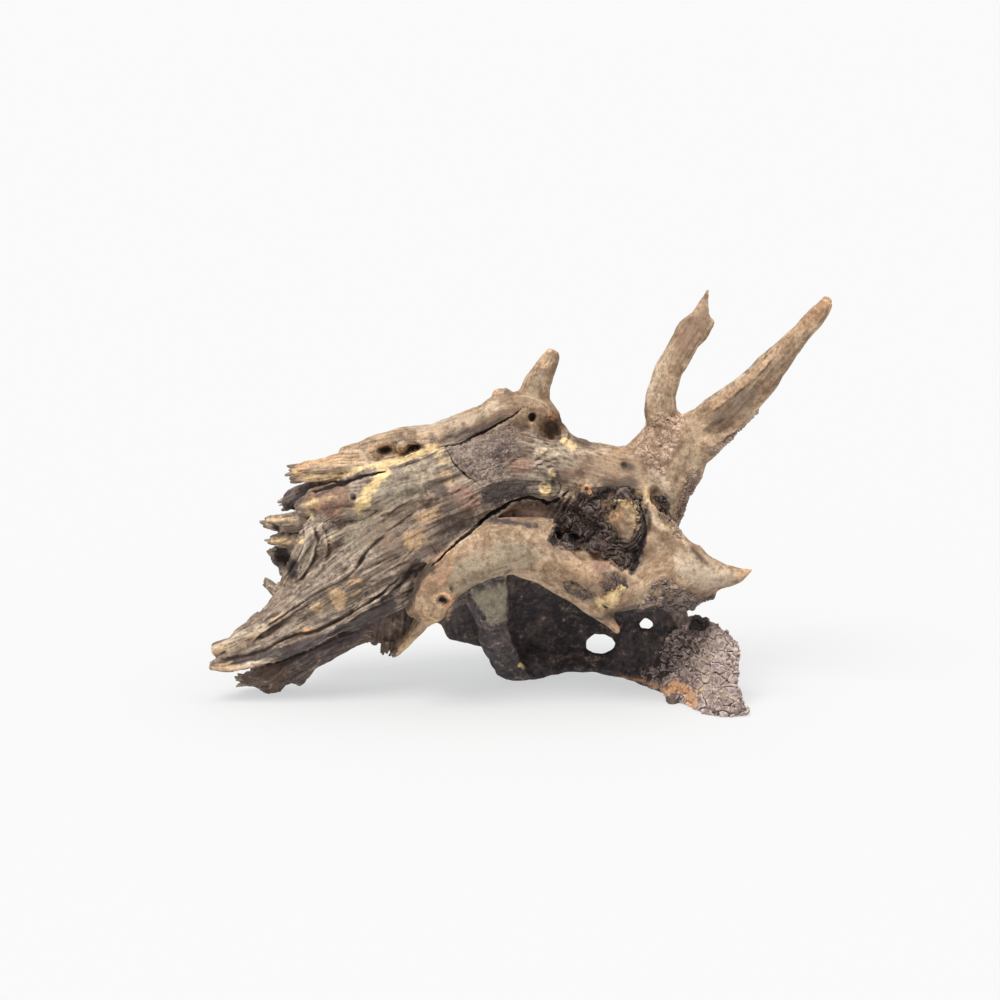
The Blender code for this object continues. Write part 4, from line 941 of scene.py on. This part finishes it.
crustFinish = dict(
    thick=2.6, hidden=0.9,      # mm below the skin, and how far under it the edge tucks
    least=0.03,                 # share of a mark from which bark is cut
    stemBark=barkKind((4.0, 4.0, 5.2), 0.6, 0.6, -0.35, (3.0, 3.0, 1.4), 0.45, 0.5, 0.5),
    archBark=barkKind((4.8, 4.8, 5.4), 0.9, 0.9, -0.6, (3.0, 3.0, 3.0), 0.7, 1.2, 0.4),
    lobeBark=barkKind((13.0, 13.0, 8.5), 1.7, 1.2, -0.8, (10.0, 10.0, 5.0), 1.8, 3.2, 0.12),
    flangeBark=barkKind((12.0, 12.0, 5.0), 1.4, 1.0, -1.3, (11.0, 11.0, 3.6), 1.8, 2.2, 0.0),
    neckBark=barkKind((8.0, 8.0, 8.0), 0.6, 0.4, -0.7, (7.0, 7.0, 3.2), 0.6, 2.0, 0.3),
    stripBark=barkKind((7.0, 7.0, 3.4), 0.9, 0.7, -0.6, (6.0, 6.0, 2.0), 0.5, 0.8, 0.1),
    burl=barkKind((9.5, 9.5, 9.5), 2.8, 2.0, -1.9, (10.0, 10.0, 7.0), 3.0, 3.0, 0.0),
)
crescents = dict(at=(103.5, 144.8), spacing=3.3, high=1.1)


def crustHeight(kind, skin, grain):
    # how far one kind of bark stands up over the skin
    how = crustFinish[kind]
    at = grain.place[0] if kind == "stemBark" else skin.points
    warp = np.stack([noiseAt(skin.points / 5, salt) for salt in (21, 22, 23)], axis=1) * how["warp"]
    gap, number = cellsAt((at + warp) / how["cell"], 24)
    ridge = 1 - narrow(noiseAt((at + 0.6 * warp) / how["ridgeSize"], 25), 1.8)
    small = 1 - narrow(noiseAt((at + 0.4 * warp) / how["ridgeSize"] * 2.3, 26), 1.6)
    height = between(gap, 0.02, 0.2) * how["high"] + (number - 0.5) * how["vary"]
    height += (ridge - 0.35) * how["ridge"] + (small - 0.35) * how["ridge"] * 0.3
    height += noiseAt(skin.points / 7, 27) * how["lump"] + noiseAt(skin.points / 1.5, 28) * 0.16
    if kind == "burl":
        dx, dy = (skin.seen - crescents["at"]).T
        away = np.hypot(dx, dy) + 1.2 * noiseAt(skin.points / 6, 29)
        turned = between(dx - 0.9 * dy, 6, 14) * between(away, 8, 10) * (1 - between(away, 22, 25))
        wave = np.sin(math.tau * away / crescents["spacing"]) * crescents["high"] + 0.8
        height = height * (1 - 0.85 * turned) + wave * turned
    return height


def makeCrust(name, kinds, triangles, trunk, skin, grain, smooth, out, relief):
    # closed bark over part of the skin, cut finer than it; where it lies lower the skin shows
    bites = bitesAt(smooth)
    share = shareOf(skin, [mark for kind in kinds for mark in crusts[kind]], bites)
    quads = readRows(trunk.data.loops, "vertex_index", 1, np.int32).reshape(-1, 4)
    quads = quads[(share[quads] > crustFinish["least"]).all(1)]
    used, quads = np.unique(quads, return_inverse=True)
    quads = quads.reshape(-1, 4)
    sides = np.sort(np.stack([quads, np.roll(quads, -1, axis=1)], axis=2).reshape(-1, 2), axis=1)
    sides, number = np.unique(sides, axis=0, return_inverse=True)
    number = number.reshape(-1, 4) + len(used)
    middle = np.arange(len(quads)) + len(used) + len(sides)
    faces = np.concatenate([np.stack([quads[:, k], number[:, k], middle, number[:, k - 1]], axis=1)
                            for k in range(4)])

    def refined(values):
        values = values[used]
        return np.concatenate([values, values[sides].mean(1), values[quads].mean(1)])

    base = refined(smooth + out * relief[:, None])
    away = refined(out)
    top = addObject(name, meshOf(name, toFrame(base), faces))
    fine = Skin(top.data)
    fine.front = refined(skin.front)
    fineGrain = Grain(fine.points, limbs)
    fineBites = bitesAt(fine.points)
    height = np.full(len(base), -farOff)
    kindOf = {}
    for kind in kinds:
        own = shareOf(fine, crusts[kind], fineBites)
        holes = between(noiseAt(base / 9, 31) + 0.5 * fineBites, 0.0, 0.5)
        own = own * (1 - crustFinish[kind]["holes"] * holes)
        raised = crustHeight(kind, fine, fineGrain) * between(own, 0.2, 0.95)
        raised -= crustFinish["hidden"] * (1 - between(own, 0.15, 0.6))
        height = np.maximum(height, raised)
        kindOf[kind] = own
    flat = fine.seen.copy()
    fine.moveTo(heldInBox(base + away * height[:, None]))
    fine.seen = flat
    fibrous = fineGrain.ofLimb(lambda limb: limb.fibre)
    # painted shade in the low places between the bark's plates
    low = between(0.25 - height, 0.0, 0.9) * 1.5
    finishSkin(fine, fineGrain, fineBites, height, low, fibrous * 0.3,
               np.max(list(kindOf.values()), axis=0))
    for kind, own in kindOf.items():
        keep(fine.mesh, kind, own)
    tops = pointsOf(top.data)
    under = toFrame(heldInBox(base - away * crustFinish["thick"]))
    ways = np.stack([faces, np.roll(faces, -1, axis=1)], axis=2).reshape(-1, 2)
    back, times = np.unique(np.sort(ways), axis=0, return_inverse=True, return_counts=True)[1:]
    open = ways[times[back.reshape(-1)] == 1]
    count = len(tops)
    walls = np.stack([open[:, 1], open[:, 0], open[:, 0] + count, open[:, 1] + count], axis=1)
    faces = np.concatenate([faces, faces[:, ::-1] + count, walls])
    closed = meshOf(name, np.concatenate([tops, under]), faces)
    for layer in list(top.data.attributes):
        if layer.domain == "POINT" and layer.data_type in ("FLOAT", "FLOAT_VECTOR") and layer.name != "position":
            single = layer.data_type == "FLOAT"
            values = readRows(layer.data, "value" if single else "vector", 1 if single else 3)
            keep(closed, layer.name, np.concatenate([values, values])[:, 0 if single else slice(None)])
    top.data = closed
    thinned(top, triangles)
    top.data.shade_smooth()
    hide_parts(trunkNode)
    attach(top, root)
    print(name, len(top.data.polygons), "faces")
    return top


splinterFinish = dict(sides=5, rooted=8.0, thick=(1.6, 3.6), long=(0.0, 2.4), share=0.25,
                      spread=0.85, splay=0.10, lean=0.05, bend=0.9, taper=0.7)
splinterEnds = {
    "steppedRidge": 6, "midFinger": 5, "thinFinger": 3, "highFinger": 5, "topFinger": 7, "lowerFinger": 4,
    "curledRidge": 3, "slab": 5, "curtain": 9, "curtainStub": 3, "hollowRoof": 5,
}


def makeSplinters(skin):
    # torn fibres that stand out of the broken ends, each a bent spike sunk into the wood
    how = splinterFinish
    chance = np.random.default_rng(93)
    named = dict(zip(grainRuns, limbs))
    points, faces = [], []
    rings = np.array([0.0, 0.35, 0.7, 0.9, 1.0])
    sides = how["sides"]
    for name, count in splinterEnds.items():
        limb = named[name]
        end, way, side, deep = limb.centres[0], -limb.along[0], limb.side[0], limb.depth[0]
        for _ in range(count):
            angle, off = chance.random() * math.tau, math.sqrt(chance.random()) * how["spread"] * limb.radius[0]
            spread = side * math.cos(angle) + deep * math.sin(angle)
            start = end + spread * off - way * how["rooted"]
            long = how["rooted"] + limb.radius[0] * how["share"] + chance.uniform(*how["long"])
            lean = way + spread * how["splay"] * chance.random() + chance.normal(size=3) * how["lean"]
            bend = chance.normal(size=3) * how["bend"]
            thick = chance.uniform(*how["thick"])
            first = len(points)
            turns = np.arange(sides) * math.tau / sides + chance.random()
            flat = chance.uniform(0.4, 1.0)
            for share in rings:
                centre = start + lean * long * share + bend * share ** 2
                width = thick * (1 - how["taper"] * share ** 2.5)
                for turn in turns:
                    points.append(centre + side * math.cos(turn) * width + deep * math.sin(turn) * width * flat)
            for low in range(first, first + (len(rings) - 1) * sides, sides):
                for k in range(sides):
                    a, b = low + k, low + (k + 1) % sides
                    faces.append((b, a, a + sides, b + sides))
            last = first + (len(rings) - 1) * sides
            faces.append(tuple(range(first, first + sides)))
            faces.append(tuple(reversed(range(last, last + sides))))
    data = bpy.data.meshes.new("splinters")
    data.from_pydata(toFrame(heldInBox(np.array(points))).tolist(), [], faces)
    mesh = bmesh.new()
    mesh.from_mesh(data)
    bmesh.ops.recalc_face_normals(mesh, faces=mesh.faces)
    mesh.to_mesh(data)
    mesh.free()
    made = addObject("splinters", data)
    made.data.shade_smooth()
    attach(made, root)
    print("splinters", len(data.polygons), "faces")
    return made


# finishes

class Wire:
    # one socket, so that shader maths reads as plain expressions
    def __init__(self, shade, socket):
        self.shade, self.socket = shade, socket

    def maths(self, operation, first, second):
        return self.shade.node("ShaderNodeMath", dict(operation=operation), {0: first, 1: second})

    def __add__(self, other):
        return self.maths("ADD", self, other)

    def __radd__(self, other):
        return self.maths("ADD", other, self)

    def __sub__(self, other):
        return self.maths("SUBTRACT", self, other)

    def __rsub__(self, other):
        return self.maths("SUBTRACT", other, self)

    def __mul__(self, other):
        return self.maths("MULTIPLY", self, other)

    def __rmul__(self, other):
        return self.maths("MULTIPLY", other, self)


class Shade:
    # one material's nodes
    def __init__(self, name):
        self.material = bpy.data.materials.new(name)
        self.material.use_nodes = True
        self.tree = self.material.node_tree
        self.tree.nodes.clear()

    def node(self, kind, settings=None, sockets=None, output=0):
        made = self.tree.nodes.new(kind)
        for name, value in (settings or {}).items():
            setattr(made, name, value)
        for name, value in (sockets or {}).items():
            if isinstance(value, Wire):
                self.tree.links.new(value.socket, made.inputs[name])
            else:
                made.inputs[name].default_value = value
        return Wire(self, made.outputs[output])

    def kept(self, name):
        return self.node("ShaderNodeAttribute", dict(attribute_name=name), output=2)

    def keptVector(self, name):
        return self.node("ShaderNodeAttribute", dict(attribute_name=name), output=1)

    def noise(self, where, scale, detail=3.0, rough=0.55):
        return self.node("ShaderNodeTexNoise", dict(noise_dimensions="3D"),
                         {"Vector": where, "Scale": scale, "Detail": detail, "Roughness": rough})

    def scaled(self, vector, factors):
        return self.node("ShaderNodeVectorMath", dict(operation="MULTIPLY"), {0: vector, 1: factors})

    def brightened(self, colour, level):
        return self.node("ShaderNodeVectorMath", dict(operation="SCALE"), {0: colour, "Scale": level})

    def mixed(self, share, first, second):
        first, second = (value if isinstance(value, Wire) else (*value, 1.0) for value in (first, second))
        return self.node("ShaderNodeMix", dict(data_type="RGBA"), {0: share, 6: first, 7: second}, output=2)

    def between(self, value, low, high):
        return self.node("ShaderNodeMapRange", dict(interpolation_type="SMOOTHSTEP"),
                         {"Value": value, "From Min": low, "From Max": high})

    def finish(self, colour, roughness, height, bumpStrength, bumpDistance):
        normal = self.node("ShaderNodeBump", {}, {"Strength": bumpStrength, "Distance": bumpDistance,
                                                  "Height": height})
        surface = self.node("ShaderNodeBsdfPrincipled", {}, {
            "Base Color": colour, "Roughness": roughness, "Normal": normal, "Specular IOR Level": 0.3})
        out = self.tree.nodes.new("ShaderNodeOutputMaterial")
        self.tree.links.new(surface.socket, out.inputs["Surface"])
        return self.material


woodColours = dict(
    grey=((0.185, 0.134, 0.102), (0.475, 0.38, 0.295)), tan=((0.33, 0.21, 0.125), (0.64, 0.46, 0.31)),
    dark=((0.070, 0.057, 0.059), (0.19, 0.145, 0.135)), shell=((0.048, 0.039, 0.042), (0.120, 0.094, 0.092)),
    lobe=((0.22, 0.155, 0.135), (0.50, 0.40, 0.36)),
    pale=(0.68, 0.54, 0.40), yellow=(0.84, 0.61, 0.31), orange=(0.66, 0.37, 0.20), bare=(0.60, 0.40, 0.225),
    pink=(0.33, 0.20, 0.145),
    # the near-black colours for holes and cracks are painted shade; the darkest brown serves both as dirt and as
    # painted shade in creases and hollows
    charcoal=(0.070, 0.056, 0.056), holeShade=(0.018, 0.014, 0.015), green=(0.36, 0.31, 0.225),
    brown=(0.18, 0.108, 0.07), creviceShade=(0.014, 0.010, 0.010), dirtAndShade=(0.070, 0.046, 0.036),
)
barkColours = dict(
    stemBark=((0.11, 0.076, 0.066), (0.36, 0.27, 0.235)), archBark=((0.030, 0.023, 0.023), (0.13, 0.10, 0.092)),
    lobeBark=((0.15, 0.108, 0.095), (0.58, 0.46, 0.42)), flangeBark=((0.04, 0.030, 0.029), (0.36, 0.27, 0.235)),
    neckBark=((0.35, 0.23, 0.155), (0.72, 0.52, 0.38)), stripBark=((0.14, 0.095, 0.08), (0.46, 0.34, 0.28)),
    burl=((0.012, 0.010, 0.011), (0.165, 0.122, 0.105)),
)


# scale, detail and roughness of each mottling
patterns = dict(
    broad=(42.0, 3.0, 0.6), blotch=(130.0, 4.0, 0.65), mottle=(330.0, 4.0, 0.7), speck=(1000.0, 2.0, 0.6),
    stain=(75.0, 5.0, 0.75), shadow=(24.0, 3.0, 0.55), moss=(33.0, 4.0, 0.7), worn=(85.0, 3.0, 0.6),
    pits=(520.0, 3.0, 0.6),
)
# thin washes over the wood: the pattern's ends, how strong, and the colour
washes = dict(stain=(0.53, 0.68, 0.45, "brown"), shadow=(0.48, 0.62, 0.42, "brown"),
              streak=(0.55, 0.70, 0.4, "brown"), moss=(0.52, 0.68, 0.3, "green"))
finishLook = dict(tint=0.92, darkUnderBark=0.35, barkTint=0.9, wornBark=0.5, bump=0.8, bumpDeep=0.8)


def woodFinish(name, barks=()):
    shade = Shade(name)
    paint = woodColours
    where = shade.node("ShaderNodeTexCoord", {}, {}, output=3)
    grain = shade.keptVector("grain")
    seen = {pattern: shade.noise(where, *facts) for pattern, facts in patterns.items()}
    streak = seen["streak"] = shade.noise(shade.scaled(grain, (1.0, 1.0, 0.06)), 0.42, 3.0, 0.6)
    hair = shade.noise(shade.scaled(grain, (1.0, 1.0, 0.05)), 1.4, 2.0, 0.6)
    blotch, mottle, speck = seen["blotch"], seen["mottle"], seen["speck"]
    fibre, crease, hollow = (shade.kept(value) for value in ("fibre", "crease", "hollow"))

    def laid(colour, amount, low, high, strength, tint):
        # lays one colour over another where an amount passes from low to high
        return shade.mixed(shade.between(amount, low, high) * strength, colour, paint[tint])

    streaky = shade.between(streak, 0.36, 0.68)
    patchy = shade.between(seen["broad"] * 0.5 + blotch * 0.5, 0.38, 0.62)
    lively = streaky * (0.15 + 0.40 * fibre) + patchy * (0.60 - 0.30 * fibre) + (mottle - 0.5) * 0.8
    lively = shade.between(lively, 0.0, 0.8)
    colour = shade.mixed(lively, *paint["grey"])
    for tone in tones[1:]:
        share = shade.between(shade.kept(tone + "Tone") + (blotch - 0.5) * 0.9, 0.25, 0.75)
        colour = shade.mixed(share, colour, shade.mixed(lively, *paint[tone]))
    bright = 1.0 - shade.kept("shellTone")
    for pattern, (low, high, strength, tint) in washes.items():
        colour = laid(colour, seen[pattern], low, high, strength * bright, tint)
    bite = (blotch - 0.5) * 1.2 + (mottle - 0.5) * 0.9
    for tint in ("green", "pale", "brown", "pink", "bare", "charcoal", "orange", "yellow"):
        colour = laid(colour, shade.kept(tint) + bite, 0.1, 1.0, finishLook["tint"], tint)
    barky = shade.kept("barky")
    if not barks:
        # painted shade on the trunk where it lies under the bark pieces, and the darker colour of its own bark
        # patches
        colour = laid(colour, barky + bite * 0.5, 0.4, 1.0, finishLook["darkUnderBark"], "dirtAndShade")
    worn = 1.0 - shade.between(seen["worn"], 0.46, 0.62) * finishLook["wornBark"]
    for bark in barks:
        # bark plates: random tone, with painted shade in their grooves and painted highlight on their tops
        plateToneAndShade = shade.between(patchy * 0.35 + streaky * 0.15 + shade.between(crease, -0.5, 0.5) * 0.6
                              + (mottle - 0.5) * 0.7, 0.15, 0.95)
        share = shade.between(shade.kept(bark) + bite * 0.5, 0.25, 0.8) * (1.0 if bark == "burl" else worn)
        colour = shade.mixed(share, colour, shade.mixed(plateToneAndShade, *barkColours[bark]))
    for tint in ("charcoal", "orange", "yellow") if barks else ():
        colour = laid(colour, shade.kept(tint) + bite * 0.7, 0.15, 0.8, finishLook["barkTint"], tint)

    level = 0.68 + 0.16 * streaky * fibre + 0.34 * shade.between(mottle, 0.32, 0.68) + 0.16 * patchy
    level = level - 0.24 * shade.between(speck, 0.52, 0.68)
    # painted highlight: ridges and bulges are made lighter
    level = level + (0.16 if barks else 0.40) * shade.between(crease, 0.0, 0.45)
    colour = shade.brightened(colour, level + 0.16 * shade.between(hollow, 0.1, 0.9))
    colour = laid(colour, seen["pits"], 0.58, 0.72, 0.25 + 0.3 * fibre, "dirtAndShade")
    # dirt and painted shade darken the creases and the hollows
    colour = laid(colour, 0.0 - crease, 0.04, 0.55, 0.78, "dirtAndShade")
    colour = laid(colour, 0.0 - hollow, 0.15, 1.0, 0.75, "dirtAndShade")
    # painted shade in the holes and crevices
    colour = laid(colour, shade.kept("holeShade") + bite * 0.5, 0.2, 0.95, 0.9, "holeShade")
    # painted shade: cracks, grooves and dents turn near black
    colour = laid(colour, shade.kept("cut") + bite * 0.3, 0.3, 0.9, 0.93, "creviceShade")

    lines = (hair * 0.8 + streak * 0.6) * (0.05 + 0.95 * fibre) * (0.3 + 0.7 * shade.kept("sure"))
    height = lines + mottle * (0.30 + 0.5 * barky) + speck * (0.14 + 0.2 * barky)
    return shade.finish(colour, 0.74 + 0.2 * mottle, height, finishLook["bump"], finishLook["bumpDeep"] * mm)


# floor, light and camera

stageLook = dict(floor=(0.27, 0.27, 0.27), glow=(0.985, 0.995, 1.0), glowStrength=0.560, world=(1.0, 1.0, 1.0),
                 worldStrength=0.45, size=9.0)


def makeStage():
    mesh = bmesh.new()
    bmesh.ops.create_grid(mesh, x_segments=2, y_segments=2, size=stageLook["size"])
    data = bpy.data.meshes.new("floor")
    mesh.to_mesh(data)
    mesh.free()
    floor = addObject("floor", data)
    shade = Shade("pale_floor")
    surface = shade.node("ShaderNodeBsdfPrincipled", {}, {
        "Base Color": (*stageLook["floor"], 1.0), "Roughness": 0.9, "Specular IOR Level": 0.0,
        "Emission Color": (*stageLook["glow"], 1.0), "Emission Strength": stageLook["glowStrength"]})
    out = shade.tree.nodes.new("ShaderNodeOutputMaterial")
    shade.tree.links.new(surface.socket, out.inputs["Surface"])
    floor.data.materials.append(shade.material)
    world = bpy.data.worlds.new("studio")
    world.use_nodes = True
    back = world.node_tree.nodes["Background"]
    back.inputs["Color"].default_value = (*stageLook["world"], 1.0)
    back.inputs["Strength"].default_value = stageLook["worldStrength"]
    bpy.context.scene.world = world


# lamps: where each shines from, its strength, how wide it is in degrees, and its colour
lamps = {
    "key": dict(towards=(-0.38, -0.58, 1.35), strength=2.45, wide=30.0, tint=(1.0, 0.985, 0.96)),
    "over": dict(towards=(0.45, 0.15, 1.3), strength=1.15, wide=60.0, tint=(1.0, 1.0, 1.0)),
}


def makeLamps():
    for name, facts in lamps.items():
        data = bpy.data.lights.new(name, "SUN")
        data.angle = math.radians(facts["wide"])
        data.energy = facts["strength"]
        data.color = facts["tint"]
        lamp = addObject(name, data)
        lamp.rotation_euler = (-Vector(facts["towards"])).to_track_quat("-Z", "Y").to_euler()


view = dict(distance=3.0, mmPerPixel=0.75, across=15.0, up=161.25, sensor=36.0)


def makeCamera():
    data = bpy.data.cameras.new("view")
    data.sensor_width = view["sensor"]
    data.lens = view["sensor"] * view["distance"] / view["mmPerPixel"]
    data.clip_end = 40.0
    camera = addObject("view", data)
    aim = Vector(toFrame(seat([(view["across"], view["up"], 0.0)]))[0])
    camera.location = aim - Vector(sight) * view["distance"]
    camera.rotation_euler = Vector(sight).to_track_quat("-Z", "Y").to_euler()
    bpy.context.scene.camera = camera
    bpy.context.scene.view_settings.view_transform = "Standard"


makeCamera()
makeStage()
makeLamps()
wood = woodFinish("weathered_wood")
bark = woodFinish("dark_bark", tuple(barkColours))
trunk, *told = makeTrunk()
crustPieces = {
    "stem_bark": (("stemBark", "archBark", "neckBark", "stripBark"), 120000),
    "lobe_bark": (("lobeBark", "flangeBark"), 120000),
    "burl": (("burl",), 100000),
}
barkPieces = [makeCrust(name, kinds, triangles, trunk, *told)
              for name, (kinds, triangles) in crustPieces.items()]
splinters = makeSplinters(told[0])
thinned(trunk, trunkFinish["triangles"])
trunk.data.shade_smooth()
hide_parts(trunkNode)
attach(trunk, root)
print("trunk", len(trunk.data.polygons), "faces")
for piece, finish in [(trunk, wood), (splinters, wood), *((made, bark) for made in barkPieces)]:
    piece.data.materials.clear()
    piece.data.materials.append(finish)
